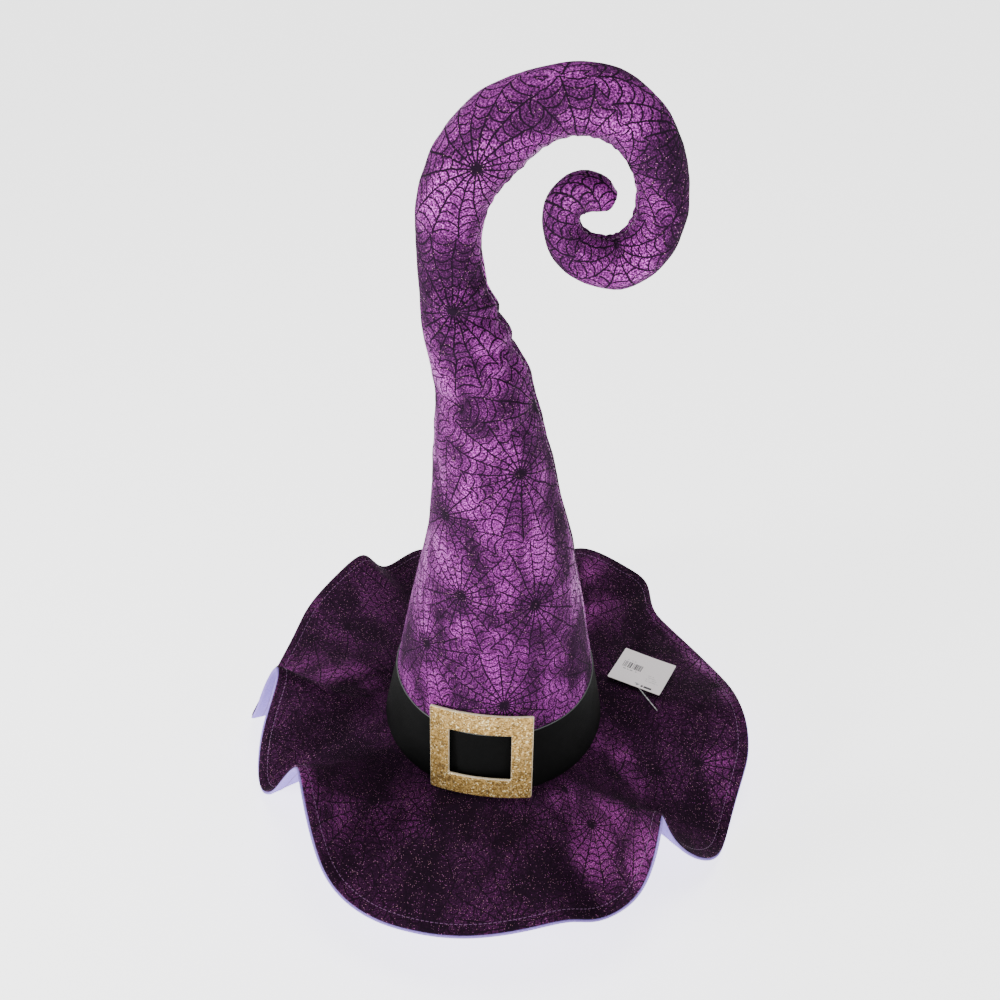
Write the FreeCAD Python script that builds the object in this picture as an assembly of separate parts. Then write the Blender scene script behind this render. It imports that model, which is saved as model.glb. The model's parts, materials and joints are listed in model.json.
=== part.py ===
"""Witch hat: tall crown that tapers into a stuffed curl, wavy brim, band, buckle and price tag.

Frame, in mm: origin at the centre of the head opening, on the plane where the crown
meets the brim. +Z up the crown, -Y the buckle side, +X the side the curl opens to.
"""
import os
from math import atan2, cos, degrees, hypot, pi, radians, sin

import FreeCAD
import Part

V = FreeCAD.Vector
UP = V(0, 0, 1)
ORIGIN = V(0, 0, 0)

# ---------------------------------------------------------------- crown layers
HEAD_R = 91.0            # head opening, radius
BRIM_START_R = 90.4      # the brim is cut back from here to the head opening
CROWN_R = 95.0           # outside of the hat band at the brim
CROWN_SLOPE = 0.194      # radius lost per mm of height
GAP = 0.1                # air between touching layers
CROWN_BASE_Z = 0.3       # lower edge of the crown layers, just above the velvet

BAND_H = 57.4
BAND_T = 0.9
FABRIC_T = 0.9           # printed velvet of the crown and curl
STIFFENER_T = 1.0        # bonded non-woven in the lower crown
STIFFENER_TOP = 164.0
LINING_T = 0.4
LINING_TOP = 165.5
SWEATBAND_H = 28.0
SWEATBAND_T = 0.8

# ---------------------------------------------------------------- curl
CONE_TOP = 175.0         # the crown is a straight cone up to here
# spine of the stuffed tube in the plane Y = 0, (x, z, radius), up and round the curl
SPINE = [
    (0.0, 175.0, 60.05), (-1.2, 205.0, 54.2), (-4.2, 245.0, 47.6), (-9.0, 290.0, 40.4),
    (-14.0, 330.0, 34.8), (-24.5, 366.0, 29.8), (-33.4, 399.0, 24.6), (-38.2, 433.0, 21.2),
    (-36.5, 464.0, 21.8), (-26.6, 491.0, 24.4), (-10.0, 511.0, 24.8), (12.0, 526.5, 22.6),
    (36.4, 533.0, 21.0), (60.0, 530.0, 20.2), (80.0, 515.5, 18.4), (92.0, 492.0, 16.8),
    (95.5, 465.0, 16.8), (88.5, 443.5, 17.0), (71.2, 430.0, 17.6), (53.0, 432.5, 16.0),
    (38.5, 443.5, 13.4), (32.7, 458.0, 12.0), (36.0, 471.0, 12.4), (46.5, 477.5, 12.6),
    (58.0, 475.0, 10.2), (63.0, 472.5, 7.4),
]
# bends of the wired curl: place on the spine and the ball radius that hides the bend
LEAN = (-9.0, 290.0, 46.5)
NECK = (-29.8, 385.0, 31.0)
ARCH = (36.4, 533.0, 24.5)
TIP = (71.2, 430.0, 20.6)
BALL_GAP = 0.35
WIRE_R = 1.0
WIRE_BORE = 1.15

# ---------------------------------------------------------------- brim
VELVET_T = 0.9
BUCKRAM_T = 0.9
FELT_T = 2.0
BRIM_CURVE = 1.8         # how late the brim leaves the level
BUCKRAM_REACH = 0.925    # share of the brim width the interlining covers
WIRE_REACH = 0.967       # edge wire, inside the hem
STITCH_REACH = 0.938     # topstitch, about 8 mm inside the edge
BRIM_WIRE_R = 0.38
THREAD_R = 0.45
AROUND = 216             # stations round the brim
ACROSS = 12              # stations from crown to edge
# Edge of the brim as it is bent, going anticlockwise from +X: (angle, reach, height).
EDGE = [
    # right side, level, then the back right dip
    (358, 223, -2), (8.5, 222, -10), (17, 222, -22), (30, 221, -32), (39, 221, -32),
    (44.5, 222, -24), (48, 225, -2), (54, 224, 6), (63.5, 224, 10), (70, 223, 4),
    # low point at the back
    (80, 216, -35), (90, 211, -55), (100, 216, -35), (111, 225, -3), (120.5, 225, -13),
    # back left peak
    (124, 225, -2), (127.5, 224, 15), (134, 224, 9), (145, 226, -12), (151, 224, -26),
    # left valley, then the tall left fold
    (161, 221, -38), (171, 222, -43), (176.5, 222, -39), (180, 211, -12), (182, 197, 28),
    (184, 184, 55), (187.5, 182, 57), (190.5, 192, 28), (192.5, 203, -6), (194, 209, -36),
    # low left corner, then the fold beside the front flap
    (196, 210, -49), (200.5, 204, -38), (206, 193, -3), (213.5, 187, 38), (221, 193, 56),
    (227, 203, 48), (231.5, 211, 26), (237, 218, 4), (245, 222, -5),
    # front flap
    (254, 222, -6), (266, 222, 0), (278, 222, 11), (286, 222, 13), (292, 222, 3),
    # tall right fold
    (299, 221, 8), (303.5, 216, 30), (306.5, 208, 52), (309.5, 200, 58), (313, 198, 38),
    (317, 206, 4),
    # low right corner and the tuck beside it
    (322.5, 218, -24), (329, 223, -44), (335, 222, -50), (341, 221, -38),
    (346.5, 223, -18), (351.5, 225, -12),
]

# ---------------------------------------------------------------- buckle
BUCKLE_W = 84.0
BUCKLE_H = 76.6
BUCKLE_T = 2.5
BUCKLE_R = 137.0         # radius it is bent to, flatter than the band
WINDOW_W = 51.0
WINDOW_H = 41.6
WINDOW_DROP = 0.3
BUCKLE_AT = V(-9.7, -90.5, 42.0)   # middle of its back
BUCKLE_YAW = -10.4       # its right side stands off the band
BUCKLE_LEAN = 15.7       # its top leans back
BUCKLE_TURN = -3.6
SEAM_ANGLE = -4.0        # where the crown is sewn up, from +X
GLUE_R = 4.5             # dabs of glue between the band and the buckle
GLUE_SPOTS = {"glue_left": (-34.0, 0.0), "glue_right": (34.0, 8.0)}

# ---------------------------------------------------------------- price tag
TAG_W = 50.0
TAG_L = 49.0
TAG_T = 0.45
TAG_HOLE_R = 1.1
TAG_HOLE_EDGE = 4.0
PIN_R = 0.45
PIN_HOLES = {"brim_velvet": 1.1, "brim_interlining": 1.1, "brim_felt": 0.25}   # clear of the pin
PIN_ENTRY = V(145.0, -1.7, 0.0)
PIN_RUN = 31.0
PIN_AZ = 120.9           # direction from the brim entry to the card's hole
TAG_SLOPE = -10.5        # fall of the card away from the pin, degrees
TAG_LEVEL = 6.0          # height of the card at its hole

parts = {}


def cone_ring(outer0, thick, z0, z1):
    """Ring that follows the crown's slope; outer0 is the outside radius at z = 0."""
    a = outer0 - CROWN_SLOPE * z0
    b = outer0 - CROWN_SLOPE * z1
    pts = [V(a, 0, z0), V(b, 0, z1), V(b - thick, 0, z1), V(a - thick, 0, z0)]
    return Part.Face(Part.makePolygon(pts + pts[:1])).revolve(ORIGIN, UP, 360)


# ---------------------------------------------------------------- natural spline
def solve(matrix, rhs):
    n = len(matrix)
    for i in range(n):
        p = max(range(i, n), key=lambda r: abs(matrix[r][i]))
        matrix[i], matrix[p] = matrix[p], matrix[i]
        rhs[i], rhs[p] = rhs[p], rhs[i]
        for r in range(i + 1, n):
            f = matrix[r][i] / matrix[i][i]
            if f:
                for c in range(i, n):
                    matrix[r][c] -= f * matrix[i][c]
                rhs[r] = rhs[r] - rhs[i] * f
    out = [None] * n
    for i in reversed(range(n)):
        s = rhs[i]
        for c in range(i + 1, n):
            s = s - out[c] * matrix[i][c]
        out[i] = s * (1.0 / matrix[i][i])
    return out


def closed_spline(points, samples):
    """Evenly spaced samples of a smooth closed curve through the points."""
    m = len(points)
    gaps = [(points[(i + 1) % m] - points[i]).Length ** 0.6 for i in range(m)]
    matrix = [[0.0] * m for _ in range(m)]
    rhs = []
    for i in range(m):
        h0, h1 = gaps[i - 1], gaps[i]
        matrix[i][(i - 1) % m] += h0
        matrix[i][i] += 2 * (h0 + h1)
        matrix[i][(i + 1) % m] += h1
        ahead = (points[(i + 1) % m] - points[i]) * (1 / h1)
        behind = (points[i] - points[i - 1]) * (1 / h0)
        rhs.append((ahead - behind) * 6)
    bend = solve(matrix, rhs)
    fine = []
    for i in range(m):
        j = (i + 1) % m
        h = gaps[i]
        for k in range(80):
            b = k / 80
            a = 1 - b
            p = points[i] * a + points[j] * b
            p = p + (bend[i] * (a ** 3 - a) + bend[j] * (b ** 3 - b)) * (h * h / 6)
            fine.append(p)
    length = [0.0]
    for k in range(len(fine)):
        length.append(length[-1] + (fine[(k + 1) % len(fine)] - fine[k]).Length)
    out = []
    k = 0
    for i in range(samples):
        want = length[-1] * i / samples
        while length[k + 1] < want:
            k += 1
        t = (want - length[k]) / (length[k + 1] - length[k])
        out.append(fine[k] * (1 - t) + fine[(k + 1) % len(fine)] * t)
    return out


# ---------------------------------------------------------------- brim surface
def brim_edge():
    pts = [V(r * cos(radians(a)), r * sin(radians(a)), z) for a, r, z in EDGE]
    edge = closed_spline(pts, AROUND)
    angles = []
    for p in edge:
        a = degrees(atan2(p.y, p.x))
        while angles and a < angles[-1] - 180:
            a += 360
        while angles and a > angles[-1] + 180:
            a -= 360
        angles.append(a)
    step = 360 / AROUND
    mean = sum(angles) / AROUND - step * (AROUND - 1) / 2
    # the cloth is gathered at the crown, so its fullness is shared between the two ends
    crown = [(angles[i] + mean + step * i) / 2 for i in range(AROUND)]
    return edge, crown


EDGE_POINTS, CROWN_ANGLES = brim_edge()


def brim_point(i, s):
    """Top of the velvet at station i, a share s of the way from the crown to the edge."""
    e = EDGE_POINTS[i % AROUND]
    a = radians(CROWN_ANGLES[i % AROUND])
    x = BRIM_START_R * cos(a) * (1 - s) + e.x * s
    y = BRIM_START_R * sin(a) * (1 - s) + e.y * s
    return V(x, y, e.z * (BRIM_CURVE * s * s - (BRIM_CURVE - 1) * s ** 3))


def brim_normal(i, s):
    d = 0.02
    lo, hi = max(0.0, s - d), min(1.0, s + d)
    if s < 1e-9:
        return V(0, 0, 1)
    out = brim_point(i, hi) - brim_point(i, lo)
    along = brim_point(i + 1, s) - brim_point(i - 1, s)
    n = out.cross(along)
    return n.normalize()


def brim_at(i, s, depth):
    return brim_point(i, s) - brim_normal(i, s) * depth


def closed_surface(rows):
    surf = Part.BSplineSurface()
    surf.interpolate([row + row[:1] for row in rows])
    return surf


def brim_layer(depth0, depth1, s0=0.0, s1=1.0):
    """Solid sheet between two depths below the top of the velvet."""
    shares = [s0 + (s1 - s0) * k / ACROSS for k in range(ACROSS + 1)]
    tops = [[brim_at(i, s, depth0) for i in range(AROUND)] for s in shares]
    lows = [[brim_at(i, s, depth1) for i in range(AROUND)] for s in shares]
    top = closed_surface(tops)
    low = closed_surface(lows)
    faces = [top.toShape(), low.toShape()]
    for end in (0, 1):
        u0, u1, v0, v1 = top.bounds()
        u = (u0, u1)[end]
        a = top.uIso(u)
        b = low.uIso(u)
        faces.append(Part.makeRuledSurface(a.toShape(), b.toShape()))
    shell = Part.makeShell(faces)
    shell.sewShape()
    solid = Part.makeSolid(shell)
    if solid.Volume < 0:
        solid.reverse()
    return solid


def ring_tube(share, depth, radius):
    """Six-sided cord inside or on the brim; its two ends meet at the back with a small gap."""
    first = AROUND // 4
    lines = []
    for k in range(6):
        turn = 2 * pi * k / 6
        row = []
        for i in range(first, first + AROUND):
            along = brim_at(i + 1, share, depth) - brim_at(i - 1, share, depth)
            side = along.cross(brim_normal(i, share)).normalize()
            up = side.cross(along).normalize()
            out = side * (radius * cos(turn)) + up * (radius * sin(turn))
            row.append(brim_at(i, share, depth) + out)
        curve = Part.BSplineCurve()
        curve.interpolate(row)
        lines.append(curve.toShape())
    faces = [Part.makeRuledSurface(lines[k], lines[(k + 1) % 6]) for k in range(6)]
    for end in ("FirstParameter", "LastParameter"):
        corners = [line.valueAt(getattr(line, end)) for line in lines]
        faces.append(Part.Face(Part.makePolygon(corners + corners[:1])))
    shell = Part.makeShell(faces)
    shell.sewShape()
    solid = Part.makeSolid(shell)
    if solid.Volume < 0:
        solid.reverse()
    return solid


# ---------------------------------------------------------------- curl tube
def spine_curve():
    curve = Part.BSplineCurve()
    curve.interpolate([V(x, 0, z) for x, z, _ in SPINE], InitialTangent=V(0, 0, 1),
                      FinalTangent=V(8, 0, -3))
    return curve


SPINE_CURVE = spine_curve()
SPINE_PARAMS = [SPINE_CURVE.parameter(V(x, 0, z)) for x, z, _ in SPINE]


def spine_radius(u):
    for k in range(len(SPINE) - 1):
        a, b = SPINE_PARAMS[k], SPINE_PARAMS[k + 1]
        if u <= b or k == len(SPINE) - 2:
            t = min(1.0, max(0.0, (u - a) / (b - a)))
            p0 = SPINE[max(k - 1, 0)][2]
            p1, p2 = SPINE[k][2], SPINE[k + 1][2]
            p3 = SPINE[min(k + 2, len(SPINE) - 1)][2]
            m1, m2 = (p2 - p0) / 2, (p3 - p1) / 2
            if k == 0:
                m1 = p2 - p1
            h = t * t * t
            q = t * t
            near = (2 * h - 3 * q + 1) * p1 + (h - 2 * q + t) * m1
            return near + (3 * q - 2 * h) * p2 + (h - q) * m2


def tube(inset, start, end, steps):
    """Solid along the spine between two spine parameters, a constant inset inside the cloth."""
    rings = []
    for k in range(steps + 1):
        u = start + (end - start) * k / steps
        r = spine_radius(u) - inset
        rings.append(Part.Wire(Part.makeCircle(r, SPINE_CURVE.value(u), SPINE_CURVE.tangent(u)[0])))
    return Part.makeLoft(rings, True, False)


def param_near(point):
    return SPINE_CURVE.parameter(V(point[0], 0, point[1]))


BENDS = [LEAN, NECK, ARCH, TIP]
CUTS = [SPINE_CURVE.FirstParameter] + [param_near(b) for b in BENDS] + [SPINE_CURVE.LastParameter]
STEPS = [8, 12, 16, 16, 16]


def ball(bend, grow):
    return Part.makeSphere(bend[2] + grow, V(bend[0], 0, bend[1]))


def hollow_tube(start, end, steps, close_end):
    outer = tube(0.0, start, end, steps)
    slip = (CUTS[-1] - CUTS[0]) * 0.004
    inner_end = end - slip * 0.5 if close_end else end + slip
    inner_start = max(start - slip, CUTS[0])
    inner = tube(FABRIC_T, inner_start, inner_end, steps)
    return outer.cut(inner)


def wire_tube(radius, start, end, steps):
    rings = []
    for k in range(steps + 1):
        u = start + (end - start) * k / steps
        rings.append(Part.Wire(Part.makeCircle(radius, SPINE_CURVE.value(u), SPINE_CURVE.tangent(u)[0])))
    return Part.makeLoft(rings, True, False)


def before(k):
    """Block on the near side of bend k, less its ball: what body k + 1 leaves to body k."""
    x, z, r = BENDS[k]
    side = 1.7 * r
    deep = 2.0 * r
    block = Part.makeBox(2 * side, 2 * side, deep, V(-side, -side, -deep))
    t = SPINE_CURVE.tangent(CUTS[k + 1])[0]
    block.rotate(ORIGIN, V(0, 1, 0), degrees(atan2(t.x, t.z)))
    block.translate(V(x, 0, z))
    return block.cut(ball(BENDS[k], 0.0))


def back_off(k):
    """Spine parameter just outside the ball of bend k, on its near side."""
    x, z, r = BENDS[k]
    u = CUTS[k + 1]
    step = (CUTS[k + 1] - CUTS[k]) / 100
    while (SPINE_CURVE.value(u) - V(x, 0, z)).Length < 1.25 * r:
        u -= step
    return u


def segment(k, make):
    """Cloth, filling or wire of body k, trimmed to the ball joints at its two ends."""
    start = back_off(k - 1) if k > 0 else CUTS[0]
    shape = make(start, CUTS[k + 1], STEPS[k], k == len(BENDS))
    if k > 0:
        shape = shape.cut(before(k - 1))
    if k < len(BENDS):
        shape = shape.cut(ball(BENDS[k], BALL_GAP))
    return biggest(shape)


def biggest(shape):
    return max(shape.Solids, key=lambda s: s.Volume)


def build_crown():
    band_out = CROWN_R
    fabric_out = band_out - BAND_T - GAP
    stiff_out = fabric_out - FABRIC_T - GAP
    line_out = stiff_out - STIFFENER_T - GAP
    parts["hat_band"] = cone_ring(band_out, BAND_T, CROWN_BASE_Z, BAND_H)
    parts["crown_stiffener"] = cone_ring(stiff_out, STIFFENER_T, CROWN_BASE_Z, STIFFENER_TOP)
    parts["sweatband"] = cone_ring(line_out, SWEATBAND_T, CROWN_BASE_Z, SWEATBAND_H)
    wall = cone_ring(line_out, LINING_T, SWEATBAND_H + GAP, LINING_TOP)
    lid_r = line_out - CROWN_SLOPE * LINING_TOP
    lid = Part.makeCylinder(lid_r - 0.05, LINING_T, V(0, 0, LINING_TOP - LINING_T))
    parts["crown_lining"] = wall.fuse(lid).removeSplitter()

    skirt = cone_ring(fabric_out, FABRIC_T, CROWN_BASE_Z, CONE_TOP)
    names = ["crown", "cone", "arch", "curl", "tip"]
    for k, name in enumerate(names):
        cloth = segment(k, hollow_tube)
        if k == 0:
            cloth = cloth.fuse(skirt).removeSplitter()
        parts[name + "_velvet"] = biggest(cloth)

        def filling(start, end, steps, last):
            slip = (CUTS[-1] - CUTS[0]) * 0.004
            return tube(FABRIC_T + GAP, start, end - slip if last else end, steps)

        def wire(start, end, steps, last):
            cut = (CUTS[-1] - CUTS[0]) * 0.02
            return wire_tube(WIRE_R, start, end - cut if last else end, steps)

        def bore(start, end, steps, last):
            cut = (CUTS[-1] - CUTS[0]) * 0.018
            return wire_tube(WIRE_BORE, start, end - cut if last else end, steps)

        fill = segment(k, filling)
        if k == 0:
            r0 = stiff_out - CROWN_SLOPE * (LINING_TOP + GAP)
            r1 = spine_radius(CUTS[0]) - FABRIC_T - GAP
            plug = Part.makeCone(r0, r1, CONE_TOP - LINING_TOP - GAP, V(0, 0, LINING_TOP + GAP))
            fill = fill.fuse(plug).removeSplitter()
        hole = segment(k, bore)
        parts[name + "_stuffing"] = biggest(fill.cut(hole))
        parts[name + "_wire"] = segment(k, wire)

    seam_a = radians(SEAM_ANGLE)
    r0 = fabric_out - CROWN_SLOPE * (BAND_H + 1) + 0.5
    r1 = fabric_out - CROWN_SLOPE * (CONE_TOP - 2) + 0.5
    a = V(r0 * cos(seam_a), r0 * sin(seam_a), BAND_H + 1)
    b = V(r1 * cos(seam_a), r1 * sin(seam_a), CONE_TOP - 2)
    parts["crown_seam"] = Part.makeCylinder(0.4, (b - a).Length, a, b - a)


def build_band_lap():
    out = CROWN_R + BAND_T + GAP
    ring = cone_ring(out, BAND_T, CROWN_BASE_Z + 0.2, BAND_H - 0.2)
    wedge = Part.makeBox(26, 30, 80, V(-13, 78, -5))
    return biggest(ring.common(wedge))


def build_brim():
    d0 = VELVET_T
    d1 = d0 + GAP
    d2 = d1 + BUCKRAM_T
    d3 = d2 + GAP
    parts["brim_velvet"] = brim_layer(0.0, d0)
    parts["brim_interlining"] = brim_layer(d1, d2, 0.0, BUCKRAM_REACH)
    parts["brim_felt"] = brim_layer(d3, d3 + FELT_T)
    opening = Part.makeCylinder(HEAD_R, 30, V(0, 0, -15))
    for name in ("brim_velvet", "brim_interlining", "brim_felt"):
        parts[name] = biggest(parts[name].cut(opening))
    middle = (d1 + d2) / 2
    parts["brim_wire"] = ring_tube(WIRE_REACH, middle, BRIM_WIRE_R)
    parts["brim_topstitch"] = ring_tube(STITCH_REACH, -THREAD_R - 0.05, THREAD_R)


def brim_height(x, y):
    best = None
    for i in range(AROUND):
        if abs(degrees(atan2(y, x)) - (CROWN_ANGLES[i] + 180) % 360 + 180) > 30:
            continue
        for k in range(101):
            p = brim_point(i, k / 100)
            d = hypot(p.x - x, p.y - y)
            if best is None or d < best[0]:
                best = (d, p.z)
    return best[1]


def place_buckle(shape):
    shape.rotate(ORIGIN, V(0, 1, 0), BUCKLE_TURN)
    shape.rotate(ORIGIN, V(1, 0, 0), -BUCKLE_LEAN)
    shape.rotate(ORIGIN, UP, BUCKLE_YAW)
    shape.translate(BUCKLE_AT)
    return shape


def build_buckle():
    slab = Part.makeCylinder(BUCKLE_R + BUCKLE_T, BUCKLE_H, V(0, BUCKLE_R, -BUCKLE_H / 2))
    slab = slab.cut(Part.makeCylinder(BUCKLE_R, BUCKLE_H + 2, V(0, BUCKLE_R, -BUCKLE_H / 2 - 1)))
    slab = slab.common(Part.makeBox(BUCKLE_W, 30, BUCKLE_H + 4, V(-BUCKLE_W / 2, -5, -BUCKLE_H / 2 - 2)))
    window = Part.makeBox(WINDOW_W, 30, WINDOW_H,
                          V(-WINDOW_W / 2, -5, -WINDOW_H / 2 - WINDOW_DROP))
    parts["buckle"] = place_buckle(biggest(slab.cut(window)))

    behind = place_buckle(Part.makeCylinder(BUCKLE_R - GAP, 2 * BUCKLE_H, V(0, BUCKLE_R, -BUCKLE_H)))
    r0 = CROWN_R + GAP
    past = 1.5 * BAND_H
    band = Part.makeCone(r0, r0 - CROWN_SLOPE * past, past)
    for name, (x, z) in GLUE_SPOTS.items():
        dab = place_buckle(Part.makeCylinder(GLUE_R, 60, V(x, -10, z), V(0, 1, 0)))
        dab = dab.common(behind).cut(band)
        parts[name] = min(dab.Solids, key=lambda s: s.CenterOfMass.y)


def build_tag():
    entry = V(PIN_ENTRY.x, PIN_ENTRY.y, brim_height(PIN_ENTRY.x, PIN_ENTRY.y))
    lie = V(cos(radians(PIN_AZ)), sin(radians(PIN_AZ)), 0)
    hole = V(entry.x, entry.y, 0) + lie * PIN_RUN
    level = brim_height(hole.x, hole.y) + TAG_LEVEL
    hole.z = level
    edge_dir = V(cos(radians(PIN_AZ - 146.3)), sin(radians(PIN_AZ - 146.3)), 0)
    fall = radians(TAG_SLOPE)
    flat = V(-edge_dir.y, edge_dir.x, 0)
    down = V(flat.x * cos(fall), flat.y * cos(fall), sin(fall))
    normal = edge_dir.cross(down)
    card = Part.makeBox(TAG_W, TAG_L, TAG_T, V(-TAG_W * 0.55, -TAG_HOLE_EDGE, 0))
    card = card.cut(Part.makeCylinder(TAG_HOLE_R, 3, V(0, 0, -1)))
    corners = [e for e in card.Edges if len(e.Vertexes) == 2
               and abs(e.Vertexes[0].Point.z - e.Vertexes[1].Point.z) > TAG_T / 2
               and hypot(e.Vertexes[0].Point.x, e.Vertexes[0].Point.y) > 3]
    card = card.makeFillet(1.2, corners)
    m = FreeCAD.Matrix(edge_dir.x, down.x, normal.x, hole.x,
                       edge_dir.y, down.y, normal.y, hole.y,
                       edge_dir.z, down.z, normal.z, hole.z, 0, 0, 0, 1)
    card = card.transformed(m)
    parts["price_tag"] = card

    start = entry + V(0, 0, 1.0)
    elbow = hole - normal * 1.3
    top = hole + normal * (TAG_T + 0.8)
    run = Part.makeCylinder(PIN_R, (elbow - start).Length, start, elbow - start)
    rise = Part.makeCylinder(PIN_R, (top - elbow).Length, elbow, top - elbow)
    joint = Part.makeSphere(PIN_R, elbow)
    bar = Part.makeCylinder(PIN_R, 5.0, top - edge_dir * 2.5, edge_dir)
    foot = Part.makeSphere(PIN_R, start)
    loop = run.fuse([rise, joint, bar, foot])
    parts["tag_pin"] = biggest(loop.removeSplitter())

    below = entry - V(0, 0, VELVET_T + BUCKRAM_T + FELT_T + 2 * GAP + 0.9)
    stub = Part.makeCylinder(PIN_R, (entry - below).Length + 0.1, below, UP)
    cross = Part.makeCylinder(0.55, 9.0, below - lie * 4.5, lie)
    parts["tag_pin_anchor"] = biggest(stub.fuse(cross).removeSplitter())
    for name, gap in PIN_HOLES.items():
        drill = Part.makeCylinder(PIN_R + gap, 14, entry - V(0, 0, 9), UP)
        parts[name] = biggest(parts[name].cut(drill))
    report = {"entry": entry, "start": start, "hole": hole, "normal": normal, "lie": lie}
    for key, p in report.items():
        print(key, round(p.x, 3), round(p.y, 3), round(p.z, 3))


def main():
    os.makedirs("parts", exist_ok=True)
    build_crown()
    parts["band_lap"] = build_band_lap()
    build_brim()
    build_buckle()
    build_tag()
    for name, shape in parts.items():
        print(name, shape.isValid(), len(shape.Solids), round(shape.Volume / 1000, 2), "cm3")
        shape.exportStep(os.path.join("parts", name + ".step"))


main()
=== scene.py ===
"""Looks of the witch hat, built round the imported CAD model. Metres, in the CAD's frame."""
import json
import math

import bpy
import numpy as np
from mathutils import Matrix, Vector, noise


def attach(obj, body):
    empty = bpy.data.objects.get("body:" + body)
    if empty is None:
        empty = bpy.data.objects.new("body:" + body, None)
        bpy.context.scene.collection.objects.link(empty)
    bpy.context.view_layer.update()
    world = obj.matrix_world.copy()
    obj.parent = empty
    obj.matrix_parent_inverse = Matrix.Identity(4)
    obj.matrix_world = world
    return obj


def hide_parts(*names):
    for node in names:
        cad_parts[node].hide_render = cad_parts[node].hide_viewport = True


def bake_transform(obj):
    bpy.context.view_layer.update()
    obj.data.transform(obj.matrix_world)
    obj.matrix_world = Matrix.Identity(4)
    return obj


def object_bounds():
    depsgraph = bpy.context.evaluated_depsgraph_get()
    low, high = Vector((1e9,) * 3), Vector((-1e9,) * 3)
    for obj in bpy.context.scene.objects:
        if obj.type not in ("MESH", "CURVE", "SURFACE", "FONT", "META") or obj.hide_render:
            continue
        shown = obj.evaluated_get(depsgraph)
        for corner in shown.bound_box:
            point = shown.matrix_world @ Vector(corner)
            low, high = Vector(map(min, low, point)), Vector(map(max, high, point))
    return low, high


MM = 0.001
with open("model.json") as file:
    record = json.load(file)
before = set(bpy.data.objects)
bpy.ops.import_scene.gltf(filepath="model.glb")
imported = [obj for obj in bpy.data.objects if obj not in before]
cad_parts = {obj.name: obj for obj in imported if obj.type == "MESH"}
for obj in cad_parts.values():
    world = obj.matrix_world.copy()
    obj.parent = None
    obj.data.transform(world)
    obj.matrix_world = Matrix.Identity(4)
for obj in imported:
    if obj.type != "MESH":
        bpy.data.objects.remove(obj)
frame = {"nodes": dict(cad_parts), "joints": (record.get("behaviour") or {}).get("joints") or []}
nodes = frame["nodes"]
cad_box = [list(c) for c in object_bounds()]

# ------------------------------------------------------------------ camera
CAMERA_AT = Vector((0.0, -0.660, 0.75126))
CAMERA_PITCH = math.radians(38.25)
CAMERA_ROLL = math.radians(1.8)


def make_camera():
    data = bpy.data.cameras.new("camera")
    data.lens = 39.85
    data.sensor_width = 36.0
    cam = bpy.data.objects.new("camera", data)
    bpy.context.scene.collection.objects.link(cam)
    ahead = Vector((0, math.cos(CAMERA_PITCH), -math.sin(CAMERA_PITCH)))
    right = Vector((1, 0, 0))
    up = right.cross(ahead)
    side = right * math.cos(CAMERA_ROLL) + up * math.sin(CAMERA_ROLL)
    top = up * math.cos(CAMERA_ROLL) - right * math.sin(CAMERA_ROLL)
    turn = Matrix((side, top, -ahead)).transposed().to_4x4()
    cam.matrix_world = Matrix.Translation(CAMERA_AT) @ turn
    bpy.context.scene.camera = cam


make_camera()


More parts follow.
